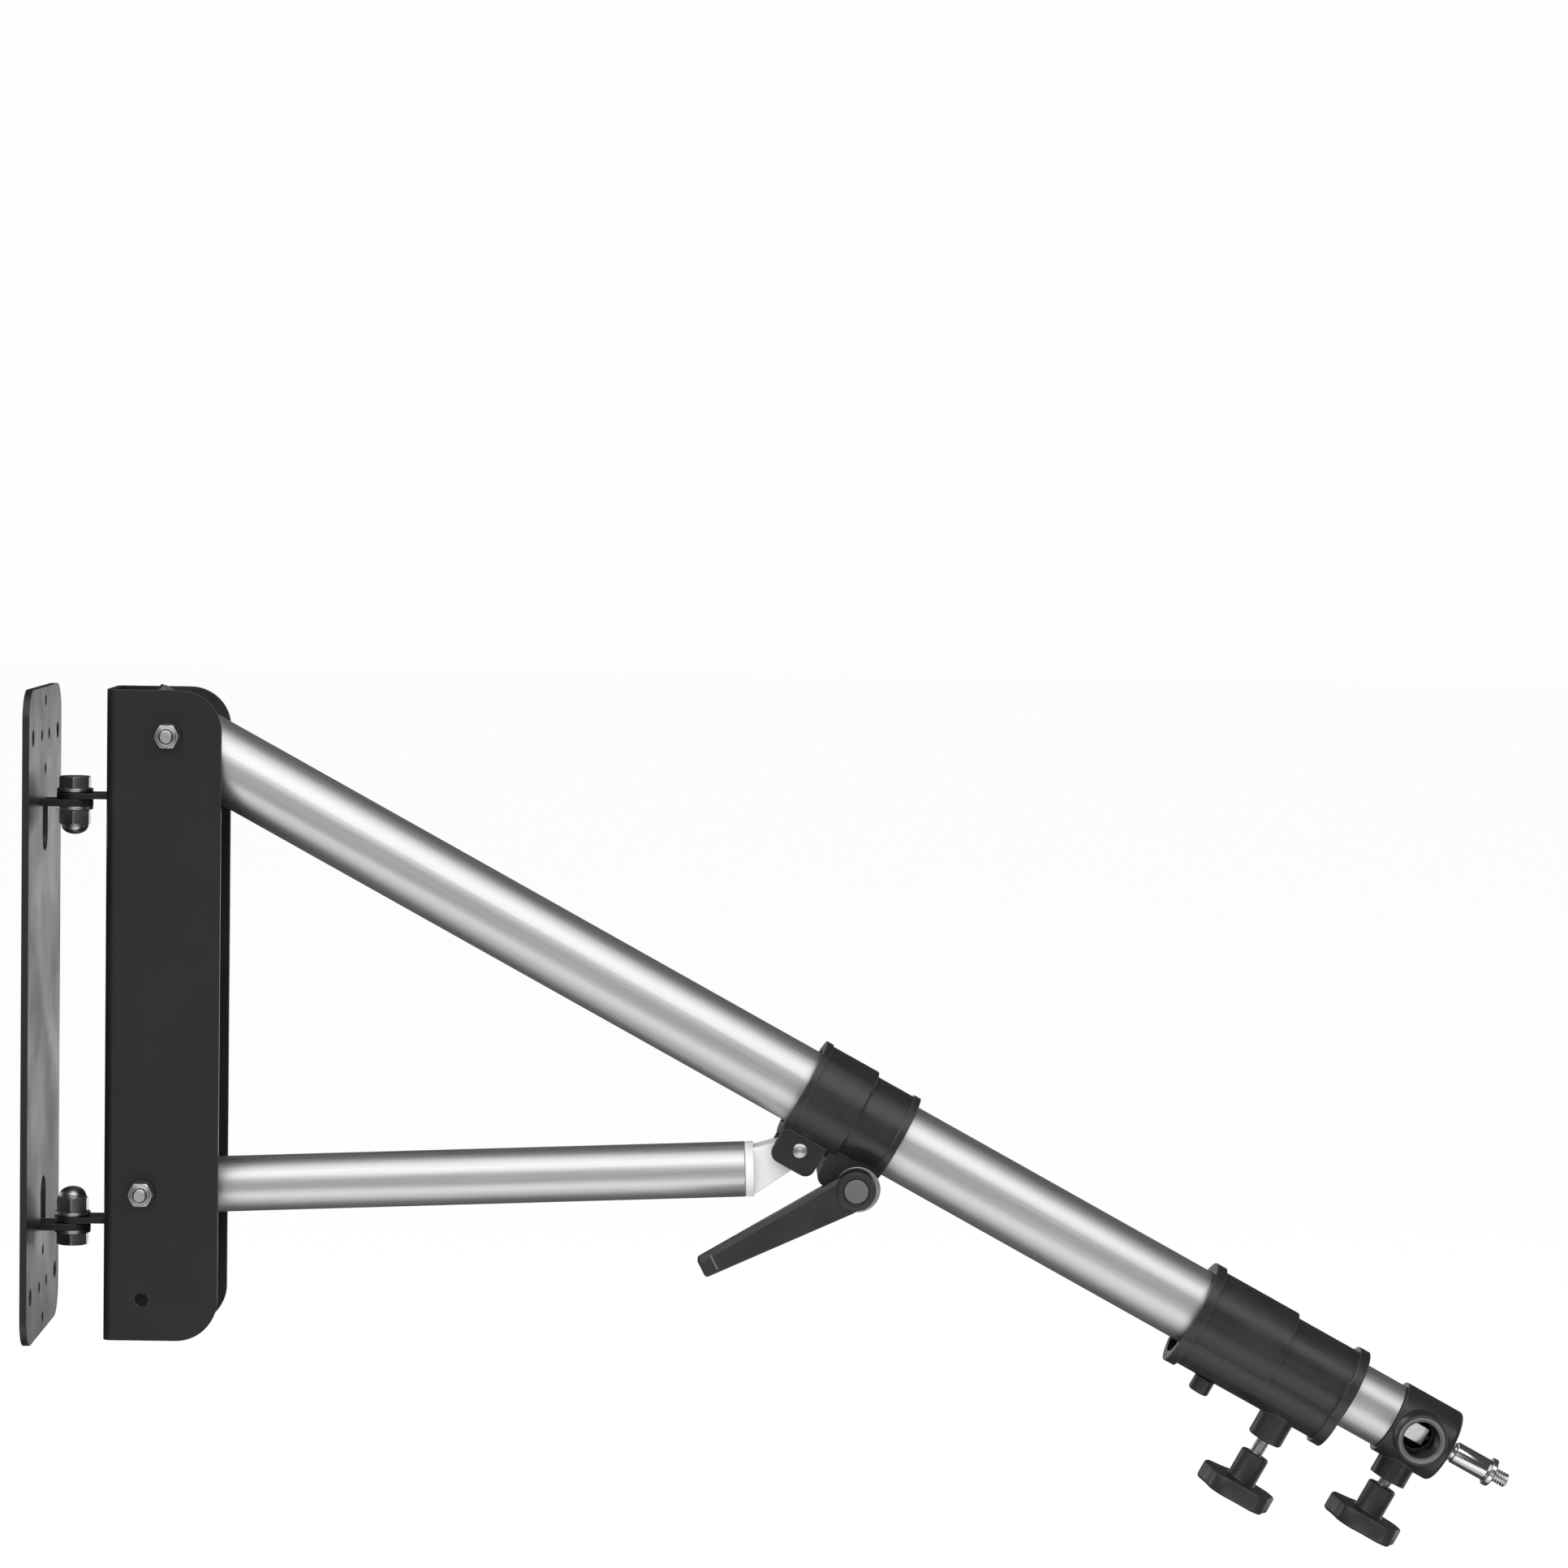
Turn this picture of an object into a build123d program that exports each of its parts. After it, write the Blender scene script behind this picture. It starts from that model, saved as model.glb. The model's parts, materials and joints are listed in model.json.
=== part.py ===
from build123d import *

import os
from math import asin, atan2, cos, degrees, radians, sin, sqrt

# A wall-mounted triangle boom arm in millimetres. A steel channel swings on a wall plate and carries a
# telescoping boom; a strut from the foot of the channel to a sliding collar on the boom holds its angle.
# The origin is the centre of the wall plate's back face, +X points out of the wall and +Z up.
# Down the boom, "station" is the distance from its pivot and "drop" the distance below its axis.

# Wall plate
plate_height = 285.0
plate_width = 100.0
plate_thickness = 3.0
plate_corner = 13.0
hole_row_inset = 21.0
screw_hole = 7.5
screw_inset = 12.0
pilot_hole = 5.0
pilot_spacing = 22.0
pilot_rise = 15.0
hinge_reach = 16.1
hinge_inset = 49.0
window_length = 20.0

# Channel bracket
bracket_height = 285.0
bracket_depth = 50.0
bracket_sheet = 2.5
bend_radius = 4.0
flange_corner = 18.0
boom_pivot_top = 20.0
strut_pivot_back = 16.8
strut_pivot_foot = 65.0
spare_pivot_foot = 18.0

# Boom, strut and telescoping tube
boom_slope = 28.65
outer_tube_diameter = 34.0
strut_tube_diameter = 24.5
outer_tube_wall = 1.2
inner_tube_wall = 1.5
strut_tube_wall = 1.5
guide_wall = 0.7
outer_tube_end = 557.0
boom_tail = 14.0
tail_flange = 1.0
tail_gap = 1.63
inner_tube_start = 30.0
inner_tube_showing = 21.8
tube_bevel = 0.4
plug_wall = 2.0
plug_length = 7.0
bush_length = 24.0
cap_flange = 2.0
cap_depth = 12.0

# Sliding collar with its clevis and split clamp
slider_start = 317.0
slider_body_length = 27.0
slider_clamp_length = 21.5
slider_body_wall = 5.1
slider_clamp_wall = 3.1
slider_bead = 0.75
slider_bead_width = 3.2
body_round = 0.8
liner_wall = 1.2
clevis_inset = 1.2
clevis_length = 21.0
clevis_margin = 9.2
clevis_gap = 16.0
ear_thickness = 5.0
lug_corner = 4.5
strut_pin = 5.0
rivet_head = 1.0
eye_wall = 3.1
eye_clearance = 1.5
strut_pin_inset = 12.3
clamp_lug_gap = 1.9
clamp_lug_length = 22.8
clamp_lug_margin = 6.5
clamp_lug_depth = 12.0
clamp_inset = 7.0
clamp_slit = 2.0
clamp_screw = 6.0

# Strut ends
nose_length = 20.5
nose_collar = 3.6
nose_eye_inset = 3.25
plug_depth = 22.0
tail_rim = 1.5
tongue_thickness = 14.0
tongue_reach = 14.0
open_pivot_bias = 0.885
open_pivot_play = 5.7
open_pivot_side_play = 1.4
open_pivot_corner = 3.5
open_pivot_wall = 2.9

# Clamping lever
lever_length = 76.0
lever_angle = 56.1
lever_boss_wall = 2.7
lever_boss_depth = 12.1
lever_washer_margin = 2.5
lever_cap_height = 2.2
lever_skin = 1.5
lever_root_width = 16.7
lever_tip_width = 9.3
lever_thickness = 8.0
lever_button_margin = 4.6
bolt_end_gap = 1.0

# Telescoping collar on the front of the outer tube
collar_overlap = 40.6
collar_step_past = 2.0
collar_front_length = 36.2
collar_rear_wall = 3.0
collar_front_wall = 3.1
collar_bead = 1.6
collar_bead_width = 4.8
collar_front_bead = 2.1
rail_inset = 1.3
rail_margin = 8.7
rail_wall = 2.5
rail_bulkhead = 6.0
fixing_inset = 20.6
fixing_head = 9.5
fixing_head_height = 6.8
fixing_shank = 5.0
collar_clamp_inset = 21.7
collar_boss_wall = 2.8
collar_boss_height = 10.8
boss_bevel = 0.8

# Head casting and spigot
head_length = 28.5
head_wall = 1.9
head_plug = 26.0
head_round = 2.0
port_inset = 12.0
port_wall = 3.35
port_margin = 10.1
port_chamfer = 1.2
port_seat = 1.0
port_stop_gap = 0.45
head_clamp_inset = 13.0
head_boss_wall = 3.3
head_boss_height = 8.1
socket_diameter = 16.1
socket_fit = 0.08
socket_depth = 36.5
spigot_end_gap = 3.0
spigot_waist = 10.6
waist_inset = 17.8
waist_width = 3.2
spigot_shoulder = 14.0
spigot_shoulder_length = 2.5
spigot_body = 10.0
spigot_groove = 0.8
spigot_groove_width = 2.0
spigot_body_length = 19.0
spigot_flange = 13.0
spigot_flange_width = 2.8
spigot_thread = 6.35
spigot_thread_length = 7.2

# Clamp knobs and their screws
knob_diameter = 36.0
knob_thickness = 8.4
knob_neck_wall = 3.65
knob_neck = 13.4
knob_flutes = 5
collar_knob_gap = 7.5
head_knob_gap = 3.7
pad_diameter = 7.0
pad_length = 3.6
pad_travel = 2.1
insert_wall = 2.2

# Fasteners
pivot_bolt = 6.0
pivot_head = 4.0
pivot_nut = 5.2
nut_collar = 1.3
hinge_bolt = 8.0
hinge_head = 5.3
hinge_nut = 6.5
dome_height = 4.5
washer_thickness = 1.6
clamp_washer_thickness = 1.2
clamp_head = 4.0

# Clearances
running_fit = 0.05
pivot_fit = 0.1
seat_fit = 0.02
face_gap = 0.3
side_gap = 2.5
sleeve_overhang = 0.5

# Fasteners' widths, from the size of their threads
pivot_flats = pivot_bolt + 4
pivot_washer = 2 * pivot_bolt
hinge_flats = hinge_bolt + 5
hinge_washer = 2 * hinge_bolt
clamp_washer_diameter = 2 * clamp_screw
clamp_flats = clamp_screw + 4
thread_hole = clamp_screw + 2 * running_fit
insert_diameter = clamp_screw + 2 * insert_wall
sleeve_diameter = pivot_bolt + 4

# The tubes fit one inside the other, and the channel leaves room beside the outer one
outer_bore = outer_tube_diameter - 2 * outer_tube_wall
inner_tube_diameter = outer_bore - 2 * (guide_wall + 2 * running_fit)
inner_bore = inner_tube_diameter - 2 * inner_tube_wall
inner_guide_bore = inner_tube_diameter + 2 * running_fit
strut_bore = strut_tube_diameter - 2 * strut_tube_wall
half_inside = outer_tube_diameter / 2 + side_gap
half_outside = half_inside + bracket_sheet
tail_swing = sqrt((boom_tail + tail_flange) ** 2 + (outer_tube_diameter / 2) ** 2)

# Places on the wall plate and the channel
bracket_back = 2 * hinge_reach
bracket_front = bracket_back + bracket_depth
boom_pivot_back = bracket_sheet + tail_gap + tail_swing
hinge_height = plate_height / 2 - hinge_inset
lug_width = hinge_washer
boom_pivot = Vector(bracket_back + boom_pivot_back, 0, bracket_height / 2 - boom_pivot_top)
strut_pivot = Vector(bracket_back + strut_pivot_back, 0, strut_pivot_foot - bracket_height / 2)
spare_pivot = Vector(bracket_back + strut_pivot_back, 0, spare_pivot_foot - bracket_height / 2)
down_boom = Vector(cos(radians(boom_slope)), 0, -sin(radians(boom_slope)))
below_boom = Vector(-sin(radians(boom_slope)), 0, -cos(radians(boom_slope)))

# Stations and drops of the sliding collar
slider_body_radius = outer_tube_diameter / 2 + slider_body_wall
slider_clamp_radius = outer_tube_diameter / 2 + slider_clamp_wall
slider_bore = outer_tube_diameter + 2 * running_fit + 2 * liner_wall + 2 * seat_fit
slider_step = slider_start + slider_body_length
slider_end = slider_step + slider_clamp_length
nose_eye_radius = strut_pin / 2 + eye_wall
strut_pin_station = slider_start + strut_pin_inset
strut_pin_drop = outer_tube_diameter / 2 + nose_eye_radius + eye_clearance
clevis_start = slider_start + clevis_inset
clevis_end = clevis_start + clevis_length
clevis_drop = strut_pin_drop + clevis_margin
clamp_lug_start = clevis_end + clamp_lug_gap
clamp_lug_end = clamp_lug_start + clamp_lug_length
clamp_station = slider_end - clamp_inset
clamp_drop = outer_tube_diameter / 2 + clamp_washer_diameter / 2 + slider_clamp_wall
clamp_lug_drop = clamp_drop + clamp_lug_margin
lever_boss = clamp_washer_diameter + 2 * lever_boss_wall
lever_button = clamp_screw + lever_button_margin
lever_washer_diameter = lever_boss + 2 * lever_washer_margin

# Stations and drops of the telescoping collar, the head and the spigot
collar_start = outer_tube_end - collar_overlap
collar_step = outer_tube_end + collar_step_past
collar_end = collar_step + collar_front_length
collar_rear_radius = outer_tube_diameter / 2 + collar_rear_wall
collar_front_radius = inner_tube_diameter / 2 + collar_front_wall
rail_radius = outer_tube_diameter / 2 - rail_inset
rail_drop = outer_tube_diameter / 2 + rail_margin
fixing_station = collar_start + fixing_inset
collar_clamp_station = collar_end - collar_clamp_inset
collar_boss = insert_diameter + 2 * collar_boss_wall
collar_boss_drop = rail_drop + collar_boss_height
collar_knob_drop = collar_boss_drop + collar_knob_gap
inner_tube_end = collar_end + inner_tube_showing
head_end = inner_tube_end + head_length
head_radius = inner_tube_diameter / 2 + head_wall
port_station = inner_tube_end + port_inset
port_diameter = socket_diameter + 2 * port_wall
port_reach = head_radius + port_margin
port_stop = socket_diameter / 2 + port_stop_gap
socket_start = head_end - socket_depth
head_clamp_station = inner_tube_end + head_clamp_inset
head_boss = insert_diameter + 2 * head_boss_wall
head_boss_drop = head_radius + head_boss_height
head_knob_drop = head_boss_drop + head_knob_gap
spigot_flats = (socket_diameter - 2 * socket_fit) * sqrt(3) / 2
spigot_tail_start = socket_start + spigot_end_gap
waist_station = inner_tube_end + waist_inset
spigot_shoulder_end = head_end + spigot_shoulder_length
spigot_body_end = spigot_shoulder_end + spigot_body_length
spigot_flange_end = spigot_body_end + spigot_flange_width
spigot_end = spigot_flange_end + spigot_thread_length


def on_boom(station, drop=0.0, depth=0.0):
    """Point at a station along the boom, below its axis and behind its middle plane."""
    return boom_pivot + down_boom * station + below_boom * drop + Vector(0, depth, 0)


def across_boom(station):
    """Plane square to the boom, its normal pointing to the tip and its local X to the back."""
    return Plane(origin=on_boom(station), x_dir=(0, 1, 0), z_dir=down_boom)


def beside_boom(depth):
    """Side plane of the boom: local X is the station, local -Y the drop, the normal faces forward."""
    return Plane(origin=on_boom(0, 0, depth), x_dir=down_boom, z_dir=(0, -1, 0))


def under_boom(station, drop):
    """Plane below the boom whose normal points away from it."""
    return Plane(origin=on_boom(station, drop), x_dir=down_boom, z_dir=below_boom)


# The strut runs from the slider's pin back to the bracket's lower pivot. Its tube is offset under the pin.
strut_pin_point = on_boom(strut_pin_station, strut_pin_drop)
strut_line = strut_pin_point - strut_pivot
nose_eye_offset = strut_tube_diameter / 2 - nose_eye_inset
strut_rise = degrees(atan2(strut_line.Z, strut_line.X)) - degrees(asin(nose_eye_offset / strut_line.length))
up_strut = Vector(cos(radians(strut_rise)), 0, sin(radians(strut_rise)))
over_strut = Vector(-sin(radians(strut_rise)), 0, cos(radians(strut_rise)))
strut_axis_end = strut_pin_point - over_strut * nose_eye_offset
strut_length = sqrt(strut_line.length**2 - nose_eye_offset**2)
open_pivot_rise = strut_line.length * sin(radians(open_pivot_bias))


def across_strut(back):
    """Plane square to the strut at a distance back from its front eye, the normal towards the bracket."""
    return Plane(origin=strut_axis_end - up_strut * back, x_dir=(0, 1, 0), z_dir=up_strut * -1)


def beside_strut(depth):
    """Side plane of the strut: local X runs towards the boom from the front eye, the normal forward."""
    return Plane(origin=strut_axis_end + Vector(0, depth, 0), x_dir=up_strut, z_dir=(0, -1, 0))


def facing(point, depth, outward):
    """Plane square to Y at a point, its normal towards the front (-1) or the back (+1)."""
    return Plane(origin=point + Vector(0, depth, 0), x_dir=(1, 0, 0), z_dir=(0, outward, 0))


def ring(base, outer, bore, length, bevel=0.0):
    """Tube or washer standing on a plane, with bevelled rims."""
    with BuildPart() as made:
        with BuildSketch(base):
            Circle(outer / 2)
            if bore:
                Circle(bore / 2, mode=Mode.SUBTRACT)
        extrude(amount=length)
        if bevel:
            chamfer(made.edges().filter_by(GeomType.CIRCLE), length=bevel)
    return made.part


def stepped(base, *steps):
    """Round bar standing on a plane, as (diameter, height at its top) steps."""
    with BuildPart() as made:
        low = 0.0
        for diameter, high in steps:
            with BuildSketch(base.offset(low)):
                Circle(diameter / 2)
            extrude(amount=high - low)
            low = high
    return made.part


def hex_bolt(seat, shank, reach, flats, head):
    """Bolt with its head standing on the seat plane's back and its shank along the normal."""
    outward = Axis(seat.origin, seat.z_dir)
    with BuildPart() as made:
        with BuildSketch(seat):
            RegularPolygon(radius=flats / 2, side_count=6, major_radius=False)
        extrude(amount=-head)
        chamfer(made.faces().sort_by(outward)[0].edges(), length=head / 10)
        with BuildSketch(seat):
            Circle(shank / 2)
        extrude(amount=reach)
        chamfer(made.faces().sort_by(outward)[-1].edges(), length=shank / 10)
    return made.part


def hex_nut(seat, bore, flats, height, crown, crown_height, closed):
    """Nut standing on the seat plane with a round collar, or with a closed dome, on its far side."""
    with BuildPart() as made:
        with BuildSketch(seat):
            RegularPolygon(radius=flats / 2, side_count=6, major_radius=False)
        extrude(amount=height)
        chamfer(made.faces().sort_by(Axis(seat.origin, seat.z_dir))[0].edges(), length=height / 12)
        with BuildSketch(seat.offset(height)):
            Circle(crown / 2)
        extrude(amount=crown_height)
        if closed:
            fillet(made.faces().sort_by(Axis(seat.origin, seat.z_dir))[-1].edges(), radius=crown_height * 0.96)
        with BuildSketch(seat):
            Circle(bore / 2)
        extrude(amount=height if closed else height + crown_height, mode=Mode.SUBTRACT)
    return made.part


def hinge_lug(tail, low, thickness):
    """Sheet lug from the hinge axis back to a wall at X = tail, rounded about the axis and drilled."""
    with BuildPart() as made:
        with BuildSketch(Plane.XY.offset(low)):
            with Locations(((hinge_reach + tail) / 2, 0)):
                Rectangle(abs(tail - hinge_reach), lug_width)
            with Locations((hinge_reach, 0)):
                Circle(lug_width / 2)
                Circle(hinge_bolt / 2 + pivot_fit, mode=Mode.SUBTRACT)
        extrude(amount=thickness)
    return made.part


def sheet_window(wall, edge, side):
    """Cutter for the round-ended window that a lug was folded out of, on the given side of its edge."""
    with BuildPart() as made:
        with BuildSketch(Plane.YZ.offset(wall)):
            with Locations((0, edge + side * window_length / 2)):
                Rectangle(lug_width, window_length)
        extrude(amount=2 * max(plate_thickness, bracket_sheet), both=True)
        fillet(made.edges().filter_by(Axis.X).sort_by(Axis.Z)[slice(0, 2) if side < 0 else slice(2, 4)],
               radius=lug_width / 2.1)
    return made.part


# Every lug is folded towards the hinge that faces the plate's end; the windows face the middle.
hinge_sides = (1, -1)
plate_lug_low = -face_gap / 2 - plate_thickness
bracket_lug_low = face_gap / 2

# Wall plate: flat steel sheet with screw holes at both ends and two folded lugs
with BuildPart() as wall_plate:
    with BuildSketch(Plane.YZ):
        RectangleRounded(plate_width, plate_height, plate_corner)
        for side in hinge_sides:
            row = side * (plate_height / 2 - hole_row_inset)
            with Locations((screw_inset - plate_width / 2, row), (plate_width / 2 - screw_inset, row)):
                Circle(screw_hole / 2, mode=Mode.SUBTRACT)
            with Locations((-pilot_spacing / 2, row), (pilot_spacing / 2, row)):
                Circle(pilot_hole / 2, mode=Mode.SUBTRACT)
            with Locations((0, row - pilot_rise), (0, row + pilot_rise)):
                Circle(pilot_hole / 2, mode=Mode.SUBTRACT)
    extrude(amount=plate_thickness)
    for side in hinge_sides:
        low = side * hinge_height + plate_lug_low
        edge = low if side > 0 else low + plate_thickness
        add(sheet_window(0, edge, -side), mode=Mode.SUBTRACT)
        add(hinge_lug(0, low, plate_thickness))

# Channel bracket: folded sheet with rounded front corners, pivot holes and its own two lugs
with BuildPart() as bracket_channel:
    with BuildSketch(Plane.XY.offset(-bracket_height / 2)) as channel_profile:
        with BuildLine():
            Polyline(
                (bracket_front, -half_outside),
                (bracket_back, -half_outside),
                (bracket_back, half_outside),
                (bracket_front, half_outside),
                (bracket_front, half_inside),
                (bracket_back + bracket_sheet, half_inside),
                (bracket_back + bracket_sheet, -half_inside),
                (bracket_front, -half_inside),
                close=True,
            )
        make_face()
        fillet(channel_profile.vertices().sort_by(Axis.X)[2:4], radius=bend_radius - bracket_sheet)
        fillet(channel_profile.vertices().sort_by(Axis.X)[:2], radius=bend_radius)
    extrude(amount=bracket_height)
    fillet(
        bracket_channel.edges().filter_by(Axis.Y).group_by(Axis.X)[-1],
        radius=flange_corner,
    )
    for side in hinge_sides:
        low = side * hinge_height + bracket_lug_low
        edge = low if side > 0 else low + bracket_sheet
        add(sheet_window(bracket_back, edge, -side), mode=Mode.SUBTRACT)
        add(hinge_lug(bracket_back + bracket_sheet, low, bracket_sheet))
    for pivot in (boom_pivot, strut_pivot, spare_pivot):
        with BuildSketch(facing(pivot, 0, -1)):
            Circle(pivot_bolt / 2)
        extrude(amount=2 * half_outside, both=True, mode=Mode.SUBTRACT)

# Hinge bolts, nuts and washers: head outermost on each hinge, dome nut towards the middle
hinge_bolt_parts = []
hinge_nut_parts = []
hinge_washer_parts = []
for side in hinge_sides:
    middle = Vector(hinge_reach, 0, side * hinge_height)
    top_seat = Plane(origin=middle + Vector(0, 0, bracket_lug_low + bracket_sheet + face_gap), z_dir=(0, 0, 1))
    low_seat = Plane(origin=middle + Vector(0, 0, plate_lug_low), z_dir=(0, 0, -1))
    head_seat, nut_seat = (top_seat, low_seat) if side > 0 else (low_seat, top_seat)
    stack = (top_seat.origin - low_seat.origin).length + 2 * washer_thickness
    bolt_seat = Plane(origin=head_seat.origin + head_seat.z_dir * washer_thickness, z_dir=head_seat.z_dir * -1)
    hinge_bolt_parts.append(hex_bolt(bolt_seat, hinge_bolt, stack + hinge_nut, hinge_flats, hinge_head))
    nut_face = Plane(origin=nut_seat.origin + nut_seat.z_dir * washer_thickness, z_dir=nut_seat.z_dir)
    hinge_nut_parts.append(
        hex_nut(nut_face, hinge_bolt + 2 * seat_fit, hinge_flats, hinge_nut, hinge_flats - 1, dome_height, True)
    )
    for seat in (top_seat, low_seat):
        hinge_washer_parts.append(
            ring(seat, hinge_washer, hinge_bolt + 2 * seat_fit, washer_thickness, washer_thickness / 8)
        )
with BuildPart() as hinge_bolts:
    add(hinge_bolt_parts)
with BuildPart() as hinge_nuts:
    add(hinge_nut_parts)
with BuildPart() as hinge_washers:
    add(hinge_washer_parts)

# Boom and strut pivot bolts: head on the back flange, nut on the front one, a washer under each
pivot_reach = 2 * half_outside + 2 * washer_thickness + pivot_nut + 2 * nut_collar
head_depth = half_outside + washer_thickness
with BuildPart() as boom_pivot_bolt:
    add(hex_bolt(facing(boom_pivot, head_depth, -1), pivot_bolt - 2 * seat_fit, pivot_reach, pivot_flats, pivot_head))
with BuildPart() as strut_pivot_bolt:
    add(hex_bolt(facing(strut_pivot, head_depth, -1), pivot_bolt - 2 * seat_fit, pivot_reach, pivot_flats, pivot_head))
with BuildPart() as boom_pivot_nut:
    add(hex_nut(facing(boom_pivot, -head_depth, -1), pivot_bolt, pivot_flats, pivot_nut,
                pivot_flats - 1, nut_collar, False))
with BuildPart() as strut_pivot_nut:
    add(hex_nut(facing(strut_pivot, -head_depth, -1), pivot_bolt, pivot_flats, pivot_nut,
                pivot_flats - 1, nut_collar, False))
with BuildPart() as flange_washers:
    for pivot in (boom_pivot, strut_pivot):
        for outward in (-1, 1):
            seat = facing(pivot, outward * half_outside, outward)
            add(ring(seat, pivot_washer, pivot_bolt, washer_thickness, washer_thickness / 8))

# Thrust washers beside the boom and spacers beside the strut, all inside the channel
sleeve_half = outer_tube_diameter / 2 + sleeve_overhang
with BuildPart() as thrust_washers:
    for outward in (-1, 1):
        seat = facing(boom_pivot, outward * (sleeve_half + face_gap), outward)
        add(ring(seat, pivot_washer * 1.25, pivot_bolt, half_inside - sleeve_half - face_gap))
with BuildPart() as strut_spacers:
    for outward in (-1, 1):
        seat = facing(strut_pivot, outward * (tongue_thickness / 2 + face_gap), outward)
        add(ring(seat, pivot_washer, pivot_bolt, half_inside - tongue_thickness / 2 - face_gap))

# Outer boom tube, its tail plug and the sleeve that its pivot bolt runs in
with BuildPart() as outer_tube:
    add(ring(across_boom(-boom_tail), outer_tube_diameter, outer_bore, boom_tail + outer_tube_end, tube_bevel))
    with BuildSketch(beside_boom(0)):
        Circle(sleeve_diameter / 2 + seat_fit)
    extrude(amount=outer_tube_diameter, both=True, mode=Mode.SUBTRACT)
    with BuildSketch(under_boom(fixing_station, 0)):
        Circle(fixing_shank / 2 + seat_fit)
    extrude(amount=outer_tube_diameter, mode=Mode.SUBTRACT)
with BuildPart() as boom_tail_plug:
    add(stepped(across_boom(-boom_tail - tail_flange), (outer_tube_diameter - 2 * tube_bevel, tail_flange),
                (outer_bore - 2 * seat_fit, plug_length)))
    with BuildSketch(across_boom(-boom_tail + plug_wall / 2)):
        Circle(outer_bore / 2 - plug_wall)
    extrude(amount=plug_length, mode=Mode.SUBTRACT)
with BuildPart() as pivot_sleeve:
    add(ring(beside_boom(sleeve_half), sleeve_diameter, pivot_bolt + 2 * pivot_fit, 2 * sleeve_half, tube_bevel))


def clevis_pocket():
    """Cutter for the gap between the ears, open towards the strut and deep enough for its eye."""
    pocket_end = strut_pin_station + nose_eye_radius + eye_clearance
    pocket_top = outer_tube_diameter / 2 + running_fit
    with BuildPart() as made:
        with BuildSketch(beside_boom(clevis_gap / 2)):
            with Locations(((clevis_start + pocket_end) / 2, -(pocket_top + clevis_drop + 1) / 2)):
                Rectangle(pocket_end - clevis_start, clevis_drop + 1 - pocket_top)
        extrude(amount=clevis_gap)
    return made.part


# Sliding collar: closed body with two clevis ears, then a split clamp closed by the lever
with BuildPart() as slider_collar:
    with BuildSketch(across_boom(slider_start)):
        Circle(slider_body_radius)
    extrude(amount=slider_step - slider_start)
    fillet(slider_collar.edges().filter_by(GeomType.CIRCLE), radius=body_round)
    with BuildSketch(across_boom(slider_start)):
        Circle(slider_body_radius + slider_bead)
    extrude(amount=slider_bead_width)
    with BuildSketch(across_boom(slider_step - 1)):
        Circle(slider_clamp_radius)
    extrude(amount=slider_end - slider_step + 1)
    with BuildSketch(across_boom(slider_end - slider_bead_width)):
        Circle(slider_clamp_radius + slider_bead)
    extrude(amount=slider_bead_width)
    for inner in (-clevis_gap / 2, clevis_gap / 2 + ear_thickness):
        with BuildSketch(beside_boom(inner)):
            with Locations(((clevis_start + clevis_end) / 2, -clevis_drop / 2)):
                RectangleRounded(clevis_end - clevis_start, clevis_drop, lug_corner)
        extrude(amount=ear_thickness)
    with BuildSketch(beside_boom(clamp_lug_depth)):
        with Locations(((clamp_lug_start + clamp_lug_end) / 2, -clamp_lug_drop / 2)):
            RectangleRounded(clamp_lug_end - clamp_lug_start, clamp_lug_drop, lug_corner)
    extrude(amount=2 * clamp_lug_depth)
    with BuildSketch(across_boom(slider_start - 1)):
        Circle(slider_bore / 2)
    extrude(amount=slider_end - slider_start + 2, mode=Mode.SUBTRACT)
    add(clevis_pocket(), mode=Mode.SUBTRACT)
    with BuildSketch(beside_boom(clamp_slit / 2)):
        with Locations(((clamp_lug_start + slider_end) / 2, -clamp_lug_drop / 2 - 5)):
            Rectangle(slider_end - clamp_lug_start, clamp_lug_drop + 10)
    extrude(amount=clamp_slit, mode=Mode.SUBTRACT)
    with BuildSketch(beside_boom(strut_pin_drop)):
        with Locations((strut_pin_station, -strut_pin_drop)):
            Circle(strut_pin / 2)
    extrude(amount=2 * strut_pin_drop, mode=Mode.SUBTRACT)
    with BuildSketch(beside_boom(clamp_lug_drop)):
        with Locations((clamp_station, -clamp_drop)):
            Circle(clamp_screw / 2 + seat_fit)
    extrude(amount=2 * clamp_lug_drop, mode=Mode.SUBTRACT)
    with BuildSketch(facing(on_boom(clamp_station, clamp_drop), -clamp_lug_depth, -1)):
        Circle(lever_washer_diameter / 2 + face_gap)
    extrude(amount=clamp_lug_depth, mode=Mode.SUBTRACT)
with BuildPart() as slider_liner:
    add(ring(across_boom(slider_start + 1), slider_bore - 2 * seat_fit,
             outer_tube_diameter + 2 * running_fit, slider_step - slider_start - 2))
    add(clevis_pocket(), mode=Mode.SUBTRACT)
with BuildPart() as strut_pin_rivet:
    pin_half = clevis_gap / 2 + ear_thickness
    add(stepped(facing(strut_pin_point, pin_half + rivet_head, -1),
                (strut_pin + 2 * rivet_head, rivet_head),
                (strut_pin, rivet_head + 2 * pin_half),
                (strut_pin + 2 * rivet_head, 2 * (rivet_head + pin_half))))
    for end in (0, -1):
        fillet(strut_pin_rivet.faces().sort_by(Axis.Y)[end].edges(), radius=0.6 * rivet_head)

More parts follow.
